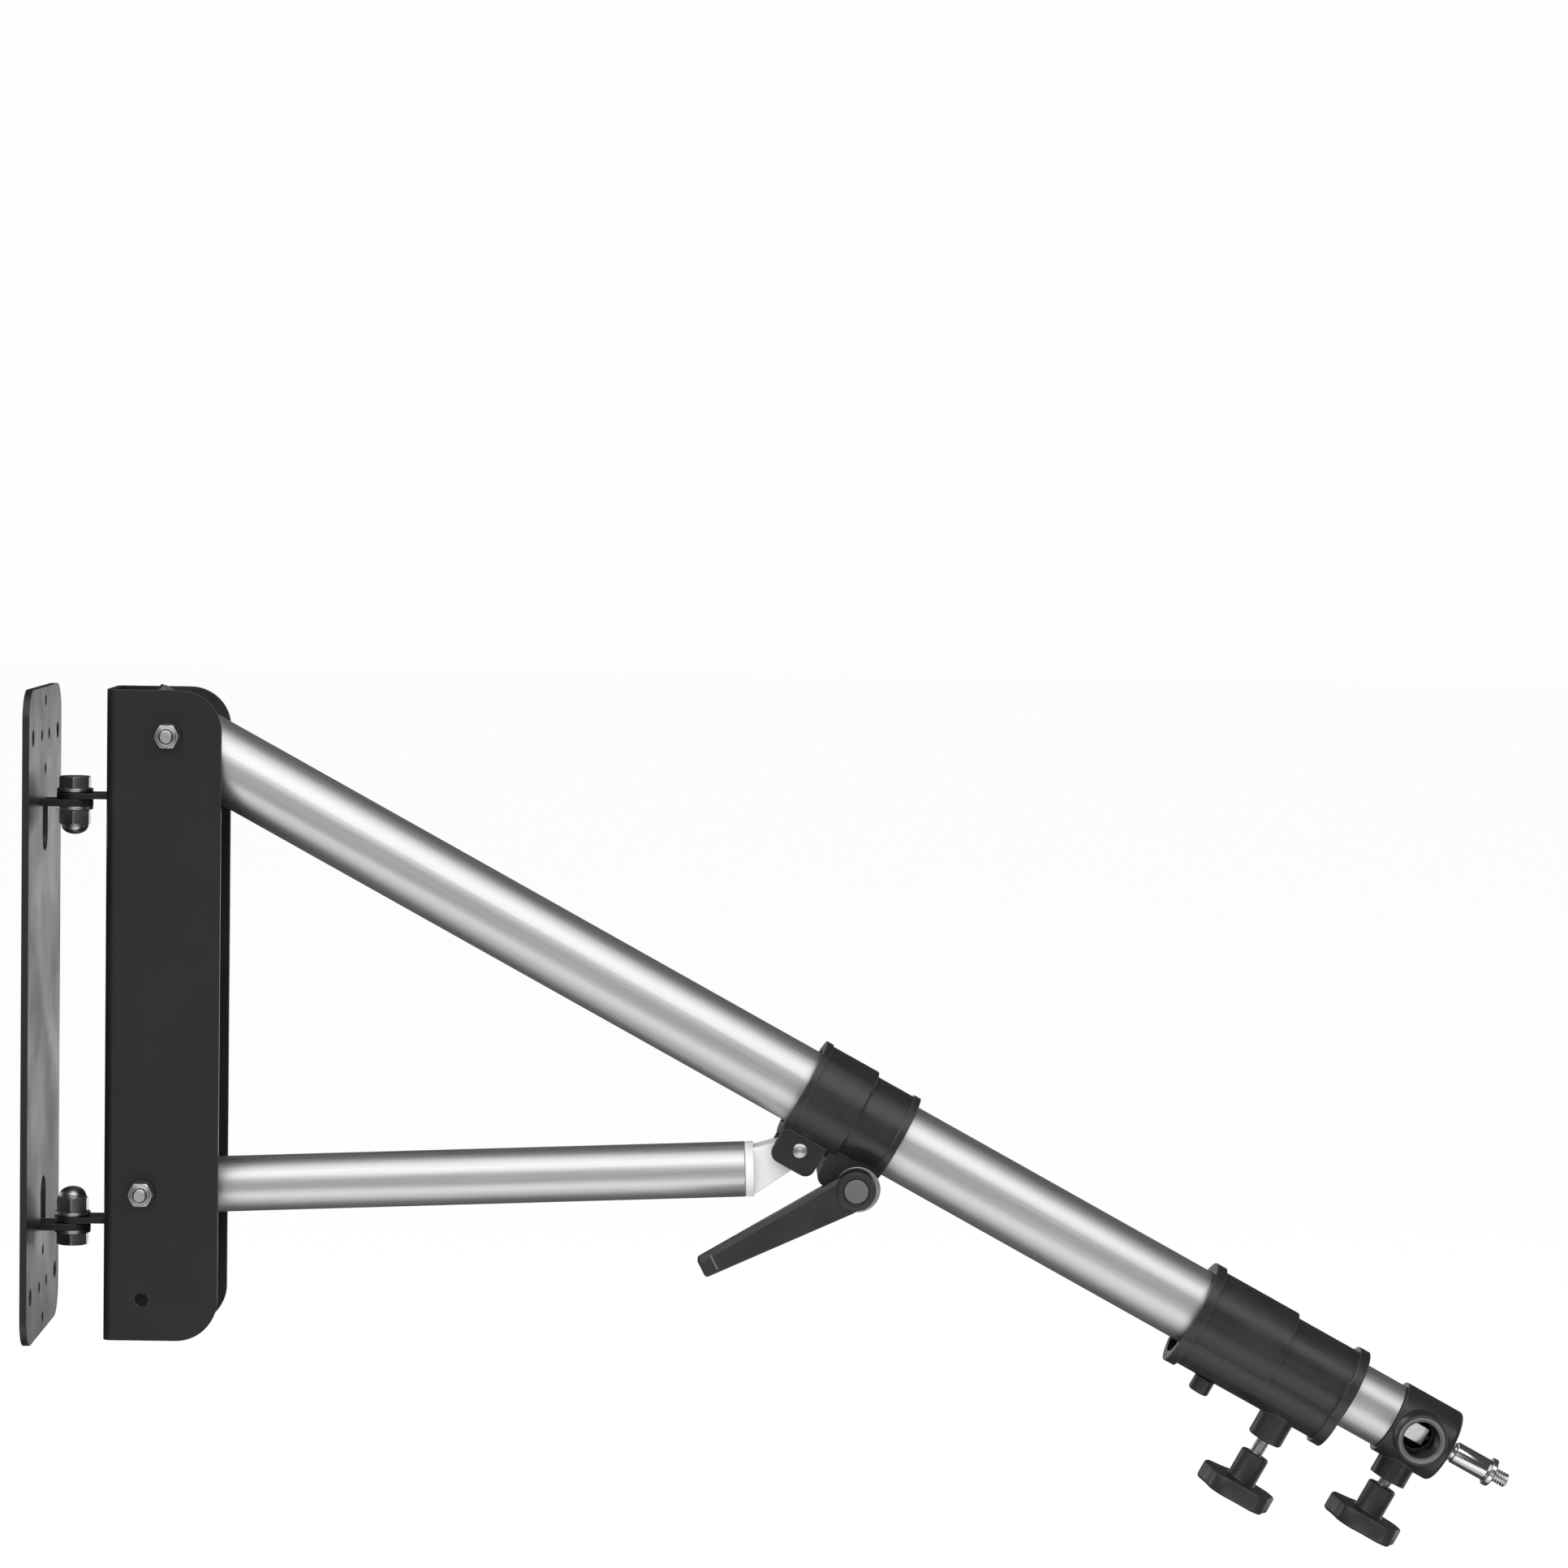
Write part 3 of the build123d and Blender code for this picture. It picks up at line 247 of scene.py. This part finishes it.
def coat(material, *names):
    """Gives CAD nodes their finish."""
    for name in names:
        nodes[name].data.materials.clear()
        nodes[name].data.materials.append(material)


black_coat = finish("black_coat", (0.006, 0.006, 0.0065), (0.0085, 0.0085, 0.009), (0.05, 0.05, 0.051), 0.0,
                    (0.34, 0.46), 24.0, 1300.0, 0.35, 0.0007)
coat(black_coat, "wall_plate", "bracket_channel")

# ---------------------------------------------------------------------------------------------------
# Hinge bolts, dome nuts and washers: M8 steel, cold headed, threads rolled, bright zinc plated.
# Each bolt drops through two folded lugs; the dome nut closes its end and hides the thread.
zinc = finish("zinc", (0.5, 0.51, 0.53), (0.66, 0.67, 0.68), (0.8, 0.8, 0.81), 1.0,
              (0.28, 0.4), 110.0, 1500.0, 0.12, 0.0004)
round_count = 48
soft_angle = math.radians(34)
chamfer_share, chamfer_drop = 0.49, 0.6 * mm
hinge_head, hinge_nut, hinge_shank, hinge_bore = 5.3 * mm, 6.5 * mm, 4.0 * mm, 4.05 * mm
hinge_threaded, hinge_pitch = 9 * mm, 1.25 * mm
dome_share, dome_steps = 0.46, 9
washer_thick = 1.6 * mm


def circle(radius, height, count=round_count):
    """Ring of points round Z."""
    return [Vector((radius * math.cos(math.tau * i / count), radius * math.sin(math.tau * i / count), height))
            for i in range(count)]


def hexagon(flats, height, corner_drop=0.0):
    """Hexagonal ring whose corners sit lower or higher, as a turned chamfer leaves them."""
    ring = []
    for i in range(round_count):
        angle = math.tau * i / round_count
        reach = flats / 2 / math.cos((angle + math.pi / 6) % (math.pi / 3) - math.pi / 6)
        drop = max(0.0, reach - chamfer_share * flats) / (flats / 13) * corner_drop
        ring.append(Vector((reach * math.cos(angle), reach * math.sin(angle), height + drop)))
    return ring


def thread(radius, start, stop, pitch, depth=0.54):
    """Rings of a right-hand thread between two heights, with a flat crest and root."""
    steps = max(4, round((stop - start) / pitch * 8))
    rings = []
    for step in range(steps + 1):
        height = start + (stop - start) * step / steps
        fade = min(1.0, (height - start) / pitch, (stop - height) / pitch)
        ring = []
        for i in range(round_count):
            phase = (height / pitch - i / round_count) % 1.0
            cut = min(1.0, max(0.0, 1.35 - abs(phase - 0.5) * 4.2))
            reach = radius - cut * depth * pitch * max(0.0, fade)
            angle = math.tau * i / round_count
            ring.append(Vector((reach * math.cos(angle), reach * math.sin(angle), height)))
        rings.append(ring)
    return rings


def frame_at(origin, along, side):
    """Matrix whose Z runs along a direction and whose X lies towards the side."""
    z_axis = Vector(along).normalized()
    x_axis = (Vector(side) - z_axis * Vector(side).dot(z_axis)).normalized()
    turn = Matrix((x_axis, z_axis.cross(x_axis), z_axis)).transposed().to_4x4()
    return Matrix.Translation(Vector(origin)) @ turn


def span(name, place, keep=None):
    """Lowest and highest corner of a CAD node's points in a frame, for those that a test keeps."""
    back = place.inverted()
    points = [back @ vertex.co for vertex in nodes[name].data.vertices if keep is None or keep(vertex.co)]
    return (Vector([min(point[i] for point in points) for i in range(3)]),
            Vector([max(point[i] for point in points) for i in range(3)]))


def piece(name, body, stands_for, material, *lofts, like=None):
    """One mesh lofted through rings, from (frame, rings, joined) lofts, capped where they aren't joined."""
    points, faces = [], []
    for place, rings, joined in lofts:
        first, count = len(points), len(rings[0])
        points += [place @ point for ring in rings for point in ring]
        pairs = [(k, k + 1) for k in range(len(rings) - 1)] + ([(len(rings) - 1, 0)] if joined else [])
        for low, high in pairs:
            for i in range(count):
                faces.append(tuple(first + row * count + column % count for row, column in
                                   ((low, i), (low, i + 1), (high, i + 1), (high, i))))
        if not joined:
            faces.append(tuple(first + i for i in reversed(range(count))))
            faces.append(tuple(first + (len(rings) - 1) * count + i for i in range(count)))
    mesh = bpy.data.meshes.new(name)
    mesh.from_pydata([tuple(point) for point in points], [], faces)
    shaped = bmesh.new()
    shaped.from_mesh(mesh)
    bmesh.ops.recalc_face_normals(shaped, faces=shaped.faces)
    shaped.to_mesh(mesh)
    shaped.free()
    mesh.shade_smooth()
    mesh.set_sharp_from_angle(angle=soft_angle)
    mesh.materials.append(material)
    shown = bpy.data.objects.new(name, mesh)
    scene.collection.objects.link(shown)
    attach(shown, body)
    if stands_for:
        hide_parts(*stands_for)
    return shown


def bolt_rings(flats, head, radius, length, pitch, threaded):
    """Hex bolt with its seat at height 0 and its shank upwards."""
    tip, lead, bearing, bearing_high = 0.2 * radius, 0.1 * mm, 0.475 * flats, 0.3 * mm
    return [circle(0.45 * flats, -head), circle(chamfer_share * flats, -head),
            hexagon(flats, -head, chamfer_drop), hexagon(flats, -bearing_high),
            circle(bearing, -bearing_high), circle(bearing, 0.0),
            circle(radius, 0.0), circle(radius, length - threaded),
            *thread(radius, length - threaded + lead, length - tip - lead, pitch),
            circle(radius, length - tip), circle(radius - tip, length)]


def nut_rings(flats, height, bore, crown, crown_height):
    """Hex nut with a round collar on its far side, open right through."""
    lead, top = 0.5 * mm, height + crown_height
    return [circle(bore, lead), circle(bore + lead, 0.0), circle(chamfer_share * flats, 0.0),
            hexagon(flats, 0.0, chamfer_drop), hexagon(flats, height, -chamfer_drop),
            circle(chamfer_share * flats, height), circle(crown, height), circle(crown, top - lead),
            circle(crown - lead, top), circle(bore + lead, top), circle(bore, top - lead)]


def dome_rings(flats, height, crown, dome):
    """Closed nut: a hexagon, a groove and a rounded cap."""
    groove, spring, pole = 0.2 * mm, 0.5 * mm, 0.3 * mm
    arc = [circle(crown * math.cos(turn), height + spring + (dome - spring) * math.sin(turn))
           for turn in [math.pi / 2 * k / dome_steps for k in range(dome_steps)]]
    return [circle(chamfer_share * flats, 0.0), hexagon(flats, 0.0, chamfer_drop),
            hexagon(flats, height, -chamfer_drop), circle(chamfer_share * flats, height),
            circle(crown, height + groove), *arc, circle(pole, height + dome)]


def washer_rings(bore, rim, thick):
    """Flat washer with the rounded rim that stamping leaves."""
    soft = thick / 5
    return [circle(bore, soft), circle(bore + soft, 0.0), circle(rim - soft, 0.0), circle(rim, soft),
            circle(rim, thick - soft), circle(rim - soft, thick), circle(bore + soft, thick),
            circle(bore, thick - soft)]


hinge_place = joints["bracket_pan"]["pos_m"]
hinge_loft = {"hinge_bolts": [], "hinge_nuts": [], "hinge_washers": []}
for side in (1, -1):
    place = frame_at(hinge_place, (0, 0, -side), (1, 0, 0))
    low, high = span("hinge_bolts", place, lambda point: point.z * side > 0)
    flats = min(high.x - low.x, high.y - low.y)
    shank_long = high.z - low.z - hinge_head
    rings = bolt_rings(flats, hinge_head, hinge_shank, shank_long, hinge_pitch, hinge_threaded)
    hinge_loft["hinge_bolts"].append((place @ Matrix.Translation((0, 0, low.z + hinge_head)), rings, False))
    low, high = span("hinge_nuts", place, lambda point: point.z * side > 0)
    flats = min(high.x - low.x, high.y - low.y)
    rings = dome_rings(flats, hinge_nut, dome_share * flats, high.z - low.z - hinge_nut)
    hinge_loft["hinge_nuts"].append((place @ Matrix.Translation((0, 0, low.z)), rings, False))
    place = frame_at(hinge_place, (0, 0, 1), (1, 0, 0))
    low, high = span("hinge_washers", place, lambda point: point.z * side > 0)
    for foot in (low.z, high.z - washer_thick):
        rings = washer_rings(hinge_bore, high.x, washer_thick)
        hinge_loft["hinge_washers"].append((place @ Matrix.Translation((0, 0, foot)), rings, True))
for name, lofts in hinge_loft.items():
    piece(name + "_look", "wall", (name,), zinc, *lofts)

# ---------------------------------------------------------------------------------------------------
# Boom and strut pivots: M6 bolts right through the channel, their heads at the back, with zinc nuts
# in front, blackened washers under both, nylon thrust washers and moulded spacers inside.
dark_washer = finish("dark_washer", (0.02, 0.02, 0.021), (0.035, 0.035, 0.036), (0.12, 0.12, 0.12), 0.6,
                     (0.3, 0.42), 90.0, 1500.0, 0.15)
natural_nylon = finish("natural_nylon", (0.66, 0.65, 0.6), (0.74, 0.73, 0.68), (0.8, 0.79, 0.74), 0.0,
                       (0.4, 0.5), 40.0, 1200.0, 0.1)
black_plastic = finish("black_plastic", (0.013, 0.013, 0.0135), (0.019, 0.019, 0.0195),
                       (0.07, 0.07, 0.071), 0.0, (0.32, 0.42), 60.0, 1700.0, 0.3)
pivot_head, pivot_nut, pivot_shank = 4.0 * mm, 5.2 * mm, 2.98 * mm
pivot_threaded, screw_pitch = 16 * mm, 1.0 * mm
pivot_bore, pivot_rim, crown_share = 3.05 * mm, 6.0 * mm, 0.44
flange_lofts = []
for joint_name, stem in (("boom_tilt", "boom_pivot"), ("strut_swing", "strut_pivot")):
    low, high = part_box(stem + "_nut")
    middle = ((low[0] + high[0]) / 2, 0.0, (low[2] + high[2]) / 2)
    flats = high[2] - low[2]
    place = frame_at((middle[0], high[1], middle[2]), (0, -1, 0), (0, 0, 1))
    rings = nut_rings(flats, pivot_nut, pivot_shank, crown_share * flats, high[1] - low[1] - pivot_nut)
    piece(stem + "_nut_look", "bracket", (stem + "_nut",), zinc, (place, rings, True))
    low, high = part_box(stem + "_bolt")
    place = frame_at((middle[0], high[1] - pivot_head, middle[2]), (0, -1, 0), (0, 0, 1))
    shank_long = high[1] - low[1] - pivot_head
    rings = bolt_rings(flats, pivot_head, pivot_shank, shank_long, screw_pitch, pivot_threaded)
    piece(stem + "_bolt_look", "bracket", (stem + "_bolt",), zinc, (place, rings, False))
    low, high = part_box("flange_washers")
    for foot in (low[1], high[1] - washer_thick):
        place = frame_at((middle[0], foot, middle[2]), (0, 1, 0), (0, 0, 1))
        flange_lofts.append((place, washer_rings(pivot_bore, pivot_rim, washer_thick), True))
piece("flange_washers_look", "bracket", ("flange_washers",), dark_washer, *flange_lofts)
coat(natural_nylon, "thrust_washers")
coat(black_plastic, "strut_spacers")

# ---------------------------------------------------------------------------------------------------
# Boom tubes and strut tube: drawn aluminium, satin silver anodised. Drawing leaves faint long lines
# along each tube; the tail plug and caps are black mouldings, the sleeve at the pivot is plated steel.
boom_run = Vector(joints["slider_travel"]["axis"])
boom_below = Vector(joints["collar_shoe_travel"]["axis"])
boom_place = frame_at(joints["boom_tilt"]["pos_m"], -boom_below, boom_run)
strut_from = Vector(joints["strut_swing"]["pos_m"])
strut_low, strut_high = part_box("strut_tube")
cut_end_rise = 21.5 * mm     # how far the box of the sloping tube is taller than its axis
strut_run = Vector((strut_high[0] - strut_low[0], 0, strut_high[2] - strut_low[2] - cut_end_rise))
anodised = finish("anodised", (0.66, 0.665, 0.675), (0.74, 0.745, 0.75), (0.85, 0.85, 0.86), 1.0,
                  (0.41, 0.46), 800.0, 3600.0, 0.03, 0.0004, boom_run)
anodised_strut = finish("anodised_strut", (0.66, 0.665, 0.675), (0.74, 0.745, 0.75), (0.85, 0.85, 0.86), 1.0,
                        (0.41, 0.46), 800.0, 3600.0, 0.03, 0.0004, strut_run)
coat(anodised, "outer_tube", "inner_tube")
coat(anodised_strut, "strut_tube")
coat(black_plastic, "boom_tail_plug", "inner_tail_cap")
coat(zinc, "pivot_sleeve")
coat(natural_nylon, "inner_guide_bush")

# ---------------------------------------------------------------------------------------------------
# Sliding collar: zinc die casting painted satin black, on a nylon liner, with two ears for the strut
# and a split clamp. The strut's pin is a steel rivet set with a dimple at each end.
black_cast = finish("black_cast", (0.011, 0.011, 0.0115), (0.017, 0.017, 0.0175), (0.09, 0.09, 0.091), 0.0,
                    (0.27, 0.38), 45.0, 800.0, 0.3, 0.0009, None, 0.6)
coat(black_cast, "slider_collar")
coat(natural_nylon, "slider_liner")
low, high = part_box("strut_pin_rivet")
rivet_half = high[1]
rivet_end = ((0.7, -0.5), (1.5, -0.1), (2.3, 0.0), (3.1, 0.3), (3.5, 0.75), (3.5, 1.0), (2.5, 1.0))
rivet_profile = [circle(radius * mm, -rivet_half + depth * mm) for radius, depth in rivet_end]
rivet_profile += [circle(radius * mm, rivet_half - depth * mm) for radius, depth in reversed(rivet_end)]
piece("strut_pin_rivet_look", "slider", ("strut_pin_rivet",), zinc,
      (frame_at(strut_from, (0, -1, 0), (0, 0, 1)), rivet_profile, False))

# ---------------------------------------------------------------------------------------------------
# Clamping lever: a black glass-filled nylon handle moulded round a steel nut on the M6 clamp bolt,
# with a bevel along its upper edge, a bright washer behind it and a snap-in grey button.
clamp_place = Vector(joints["lever_turn"]["pos_m"])
handle_points = [vertex.co - clamp_place for vertex in nodes["lever_handle"].data.vertices]
lever_reach = max(math.hypot(point.x, point.z) for point in handle_points)
tip_points = [point for point in handle_points if math.hypot(point.x, point.z) > 0.97 * lever_reach]
lever_run = Vector((sum(point.x for point in tip_points), 0, sum(point.z for point in tip_points)))
lever_place = frame_at(clamp_place, (0, -1, 0), lever_run)
lever_low, lever_high = span("lever_handle", lever_place)
boss_radius, root_radius, tip_radius = 8.7 * mm, 8.35 * mm, 4.65 * mm
bore_radius, recess_radius, recess_depth = 6.1 * mm, 5.4 * mm, 1.5 * mm
boss_face = lever_high.z
handle_top, handle_thick, back_edge = boss_face - recess_depth, 8.0 * mm, 0.7 * mm
root_station, tip_corner = 5.8 * mm, 1.6 * mm
handle_stations = ((Vector((root_station, 0, 0)), root_radius),
                   (Vector((lever_high.x - tip_corner, tip_radius - tip_corner, 0)), tip_corner),
                   (Vector((lever_high.x - tip_corner, tip_corner - tip_radius, 0)), tip_corner))
lever_up = lever_place.to_3x3().inverted() @ Vector((0, 0, 1))
outline_count = 96


def handle_outline(inset_for):
    """Outline of the tapered handle, pulled in by an inset that depends on the edge's direction."""
    ring = []
    for i in range(outline_count):
        angle = math.tau * i / outline_count
        outward = Vector((math.cos(angle), math.sin(angle), 0))
        middle, radius = max(handle_stations, key=lambda stop: stop[0].dot(outward) + stop[1])
        ring.append((outward, middle + outward * (radius - inset_for(outward, middle.x))))
    return ring


def bevel_of(outward, station):
    """Width of the handle's bevel: wide along the upper edge, widest at the tip, narrow elsewhere."""
    facing_up = max(0.0, outward.x * lever_up.x + outward.y * lever_up.y)
    return (0.8 + 1.9 * facing_up * (0.55 + 0.45 * station / lever_high.x)) * mm


handle_back, handle_low = handle_top - handle_thick, handle_top - handle_thick + back_edge
plain_outline = handle_outline(lambda outward, station: 0.0)
bevel_fall = 0.75        # depth of the bevel over its width
handle_rings = [
    [point + Vector((0, 0, handle_back)) for _, point in handle_outline(lambda outward, station: back_edge)],
    [point + Vector((0, 0, handle_low)) for _, point in plain_outline],
    [point + Vector((0, 0, handle_top - bevel_fall * bevel_of(outward, point.x)))
     for outward, point in plain_outline],
    [point + Vector((0, 0, handle_top)) for _, point in handle_outline(bevel_of)],
]
boss_rings = [circle(bore_radius, lever_low.z), circle(boss_radius - 0.3 * mm, lever_low.z),
              circle(boss_radius, lever_low.z + 0.4 * mm), circle(boss_radius, boss_face - 1.2 * mm),
              circle(boss_radius - 0.35 * mm, boss_face - 0.35 * mm),
              circle(boss_radius - 1.2 * mm, boss_face), circle(recess_radius + 0.5 * mm, boss_face),
              circle(recess_radius, boss_face - 0.5 * mm), circle(recess_radius, boss_face - recess_depth),
              circle(bore_radius - 0.05 * mm, boss_face - recess_depth)]
piece("lever_handle_look", "lever", ("lever_handle",), black_plastic,
      (lever_place, handle_rings, False), (lever_place, boss_rings, True))
# A thin grey strip across the top of the handle near its tip: a painted highlight line on the black handle
band_station, band_width, band_half = 69.6 * mm, 0.9 * mm, 3.65 * mm
band_rings = []
for across, height in ((-1.0, -0.2), (-1.0, 0.12), (-0.6, 0.2), (0.6, 0.2), (1.0, 0.12), (1.0, -0.2)):
    band_rings.append([Vector((band_station + dx * band_width, band_half * across,
                               handle_top + (height + dz) * mm * 0.5))
                       for dx, dz in ((-0.5, -0.1), (0.5, -0.1), (0.35, 0.1), (-0.35, 0.1))])
grey_cap = finish("grey_cap", (0.075, 0.075, 0.078), (0.1, 0.1, 0.103), (0.22, 0.22, 0.225), 0.0,
                  (0.4, 0.5), 60.0, 1500.0, 0.25)
piece("lever_highlight_band", "lever", (), grey_cap, (lever_place, band_rings, False), like="lever_cap")
cap_low, cap_high = span("lever_cap", lever_place)
cap_radius = cap_high.y
cap_rings = [circle(cap_radius, cap_low.z), circle(cap_radius, cap_high.z - 0.6 * mm),
             circle(cap_radius - 0.2 * mm, cap_high.z - 0.2 * mm),
             circle(cap_radius - 0.7 * mm, cap_high.z), circle(cap_radius - 1.3 * mm, cap_high.z),
             circle(cap_radius - 2.6 * mm, cap_high.z - 0.3 * mm)]
piece("lever_cap_look", "lever", ("lever_cap",), grey_cap, (lever_place, cap_rings, False))
coat(zinc, "lever_nut", "clamp_washer")
washer_low, washer_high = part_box("lever_washer")
washer_drop = Vector((0.85 * mm, 0.0, -0.85 * mm))
washer_bore, washer_rim = 4.5 * mm, 10.1 * mm
washer_place = Vector((clamp_place.x, washer_high[1], clamp_place.z)) + washer_drop
rings = washer_rings(washer_bore, washer_rim, washer_high[1] - washer_low[1])
piece("lever_washer_look", "lever", ("lever_washer",), zinc,
      (frame_at(washer_place, (0, -1, 0), (0, 0, 1)), rings, True))
bolt_low, bolt_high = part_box("clamp_bolt")
clamp_flats, clamp_head, screw_radius, clamp_threaded = 10 * mm, 4.0 * mm, 3.0 * mm, 20 * mm
clamp_long = bolt_high[1] - bolt_low[1] - clamp_head
rings = bolt_rings(clamp_flats, clamp_head, screw_radius, clamp_long, screw_pitch, clamp_threaded)
bolt_place = frame_at((clamp_place.x, bolt_high[1] - clamp_head, clamp_place.z), (0, -1, 0), (0, 0, 1))
piece("clamp_bolt_look", "slider", ("clamp_bolt",), zinc, (bolt_place, rings, False))

# ---------------------------------------------------------------------------------------------------
# Strut ends: off-white acetal mouldings pressed into the strut tube. The front one is a flat eye on
# the slider's pin; the rear one is a tongue between the channel's spacers.
white_plastic = finish("white_plastic", (0.6, 0.598, 0.59), (0.66, 0.658, 0.65), (0.76, 0.758, 0.75), 0.0,
                       (0.34, 0.44), 50.0, 1400.0, 0.12, 0.0008)
coat(white_plastic, "strut_nose", "strut_tail")

# ---------------------------------------------------------------------------------------------------
# Telescoping collar: a black painted die casting over the front of the outer tube, hollow below,
# held by a black socket screw; its boss carries a brass insert for the clamp knob's screw.
brass = finish("brass", (0.5, 0.34, 0.13), (0.66, 0.46, 0.2), (0.78, 0.6, 0.32), 1.0,
               (0.24, 0.4), 120.0, 1500.0, 0.12)
coat(black_cast, "telescope_collar", "collar_fixing_screw")
coat(brass, "collar_insert", "collar_pad")

# ---------------------------------------------------------------------------------------------------
# Clamp knobs: five-lobed black nylon, moulded on plated M6 screws that reach through the bosses.
# Each knob has a round neck, rounded lobes, a shallow dish on top, and a screw with a rolled thread.
knob_flutes, knob_count = 5, 120
knob_radius, neck_radius, neck_long = 18.0 * mm, 6.65 * mm, 13.4 * mm
flute_start, flute_soft = math.radians(18), 1.1 * mm
flute_distance = 1.88 * knob_radius


def lobed(inset, height):
    """Knob outline with five shallow flutes, pulled in by an inset."""
    ring = []
    for i in range(knob_count):
        angle = math.tau * i / knob_count
        off = (angle - flute_start + math.pi / knob_flutes) % (math.tau / knob_flutes) - math.pi / knob_flutes
        inside = knob_radius * knob_radius - (flute_distance * math.sin(off)) ** 2
        cut = flute_distance * math.cos(off) - math.sqrt(inside) if inside > 0 else knob_radius * 1.2
        blend = math.exp(-knob_radius / flute_soft) + math.exp(-cut / flute_soft)
        reach = -flute_soft * math.log(blend) - inset
        ring.append(Vector((reach * math.cos(angle), reach * math.sin(angle), height)))
    return ring


def knob_loft(thick):
    """Rings of a knob from the free end of its neck to its dished face."""
    top, under_round, top_round = neck_long + thick, 1.1 * mm, 1.6 * mm
    rings = [circle(radius, height, knob_count) for radius, height in (
        (3.1 * mm, 0.0), (neck_radius - 0.6 * mm, 0.0), (neck_radius, 0.6 * mm),
        (neck_radius, neck_long - 1.3 * mm), (neck_radius + 0.35 * mm, neck_long - 0.4 * mm),
        (neck_radius + 1.3 * mm, neck_long))]
    for turn in (90, 60, 30, 0):
        bend = math.radians(turn)
        rings.append(lobed(under_round * (1 - math.cos(bend)),
                           neck_long + under_round * (1 - math.sin(bend))))
    for turn in (0, 25, 50, 70, 90):
        bend = math.radians(turn)
        rings.append(lobed(top_round * (1 - math.cos(bend)), top - top_round * (1 - math.sin(bend))))
    rings += [lobed(4.4 * mm, top), lobed(5.4 * mm, top - 0.5 * mm),
              circle(6.0 * mm, top - 0.9 * mm, knob_count), circle(5.5 * mm, top - 0.9 * mm, knob_count)]
    return rings


for owner in ("collar", "head"):
    knob_joint = joints[owner + "_knob_turn"]
    place = frame_at(knob_joint["pos_m"], knob_joint["axis"], boom_run)
    low, high = span(owner + "_knob", place)
    piece(owner + "_knob_look", owner + "_grip", (owner + "_knob",), black_plastic,
          (place @ Matrix.Translation((0, 0, low.z)), knob_loft(high.z - low.z - neck_long), False))
    low, high = span(owner + "_screw", place)
    screw_long = high.z - low.z
    screw_plain = screw_long - 4 * mm
    screw_rings = [circle(2.3 * mm, 0.0), circle(screw_radius, 0.6 * mm),
                   *thread(screw_radius, 0.7 * mm, screw_plain, screw_pitch),
                   circle(screw_radius, screw_plain), circle(screw_radius, screw_long)]
    piece(owner + "_screw_look", owner + "_grip", (owner + "_screw",), zinc,
          (place @ Matrix.Translation((0, 0, low.z)), screw_rings, False))

# ---------------------------------------------------------------------------------------------------
# Head: a black painted casting plugged into the inner tube, with a side port and a clamp boss. The
# spigot in it is turned from hexagon bar and nickel plated, with a quarter-inch thread at its tip.
coat(black_cast, "head_socket")
coat(brass, "head_insert", "head_pad")
# The port's rim is lighter grey than the casting: its chamfer is modelled, and the lighter colour is a
# painted highlight where the chamfer catches light
port_rim_highlight = finish("port_rim_highlight", (0.1, 0.1, 0.102), (0.14, 0.14, 0.143), (0.3, 0.3, 0.3), 0.3,
                      (0.3, 0.4), 90.0, 1500.0, 0.1)
port = next(mount for mount in frame["record"]["mounts"] if mount["name"] == "side_receiver")
port_radius = port["dims"]["r_mm"] * mm
port_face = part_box("head_socket")[0][1]
rim_deep, rim_wide = 1.2 * mm, 2.2 * mm
rim_place = frame_at((port["pos_m"][0], port_face + rim_deep, port["pos_m"][2]), (0, -1, 0), (0, 0, 1))
rim_rings = [circle(port_radius + 0.02 * mm, 0.0), circle(port_radius + rim_wide, 0.0),
             circle(port_radius + rim_wide, 1.25 * mm), circle(port_radius + 1.3 * mm, 1.32 * mm),
             circle(port_radius + 0.1 * mm, 0.1 * mm)]
piece("port_rim", "extension", (), port_rim_highlight, (rim_place, rim_rings, True), like="head_socket")
nickel = finish("nickel", (0.66, 0.655, 0.64), (0.74, 0.735, 0.72), (0.85, 0.85, 0.84), 1.0,
                (0.12, 0.2), 80.0, 1500.0, 0.05, 0.0004)
spigot_place = frame_at(joints["boom_tilt"]["pos_m"], boom_run, (0, 1, 0))
low, high = span("spigot", spigot_place)
tail_flats, waist_start, waist_stop, tail_stop = 13.8 * mm, 22.8 * mm, 26.0 * mm, 32.3 * mm
waist_radius, quarter_inch, quarter_pitch = 5.3 * mm, 3.175 * mm, 1.27 * mm
spigot_long = high.z - low.z
# Collar behind the head, neck, shank, groove and flange: radius and height of each turned corner
turned = ((6.6, 32.5), (7.0, 33.0), (7.0, 35.6), (6.6, 36.0), (4.3, 36.0), (4.2, 36.2), (4.2, 37.8),
          (4.7, 38.0), (5.0, 38.3), (5.0, 54.6), (4.8, 55.0), (6.1, 55.0), (6.5, 55.4), (6.5, 57.3),
          (6.1, 57.8), (3.175, 57.8))
spigot_rings = [circle(0.46 * tail_flats, 0.0), hexagon(tail_flats, 0.0, 0.7 * mm),
                hexagon(tail_flats, waist_start - 0.6 * mm),
                circle(waist_radius, waist_start), circle(waist_radius, waist_stop),
                hexagon(tail_flats, waist_stop + 0.6 * mm), hexagon(tail_flats, tail_stop),
                *[circle(radius * mm, height * mm) for radius, height in turned],
                *thread(quarter_inch, 58.0 * mm, spigot_long - 0.7 * mm, quarter_pitch),
                circle(quarter_inch, spigot_long - 0.6 * mm), circle(2.5 * mm, spigot_long)]
piece("spigot_look", "spigot", ("spigot",), nickel,
      (spigot_place @ Matrix.Translation((0, 0, low.z)), spigot_rings, False))
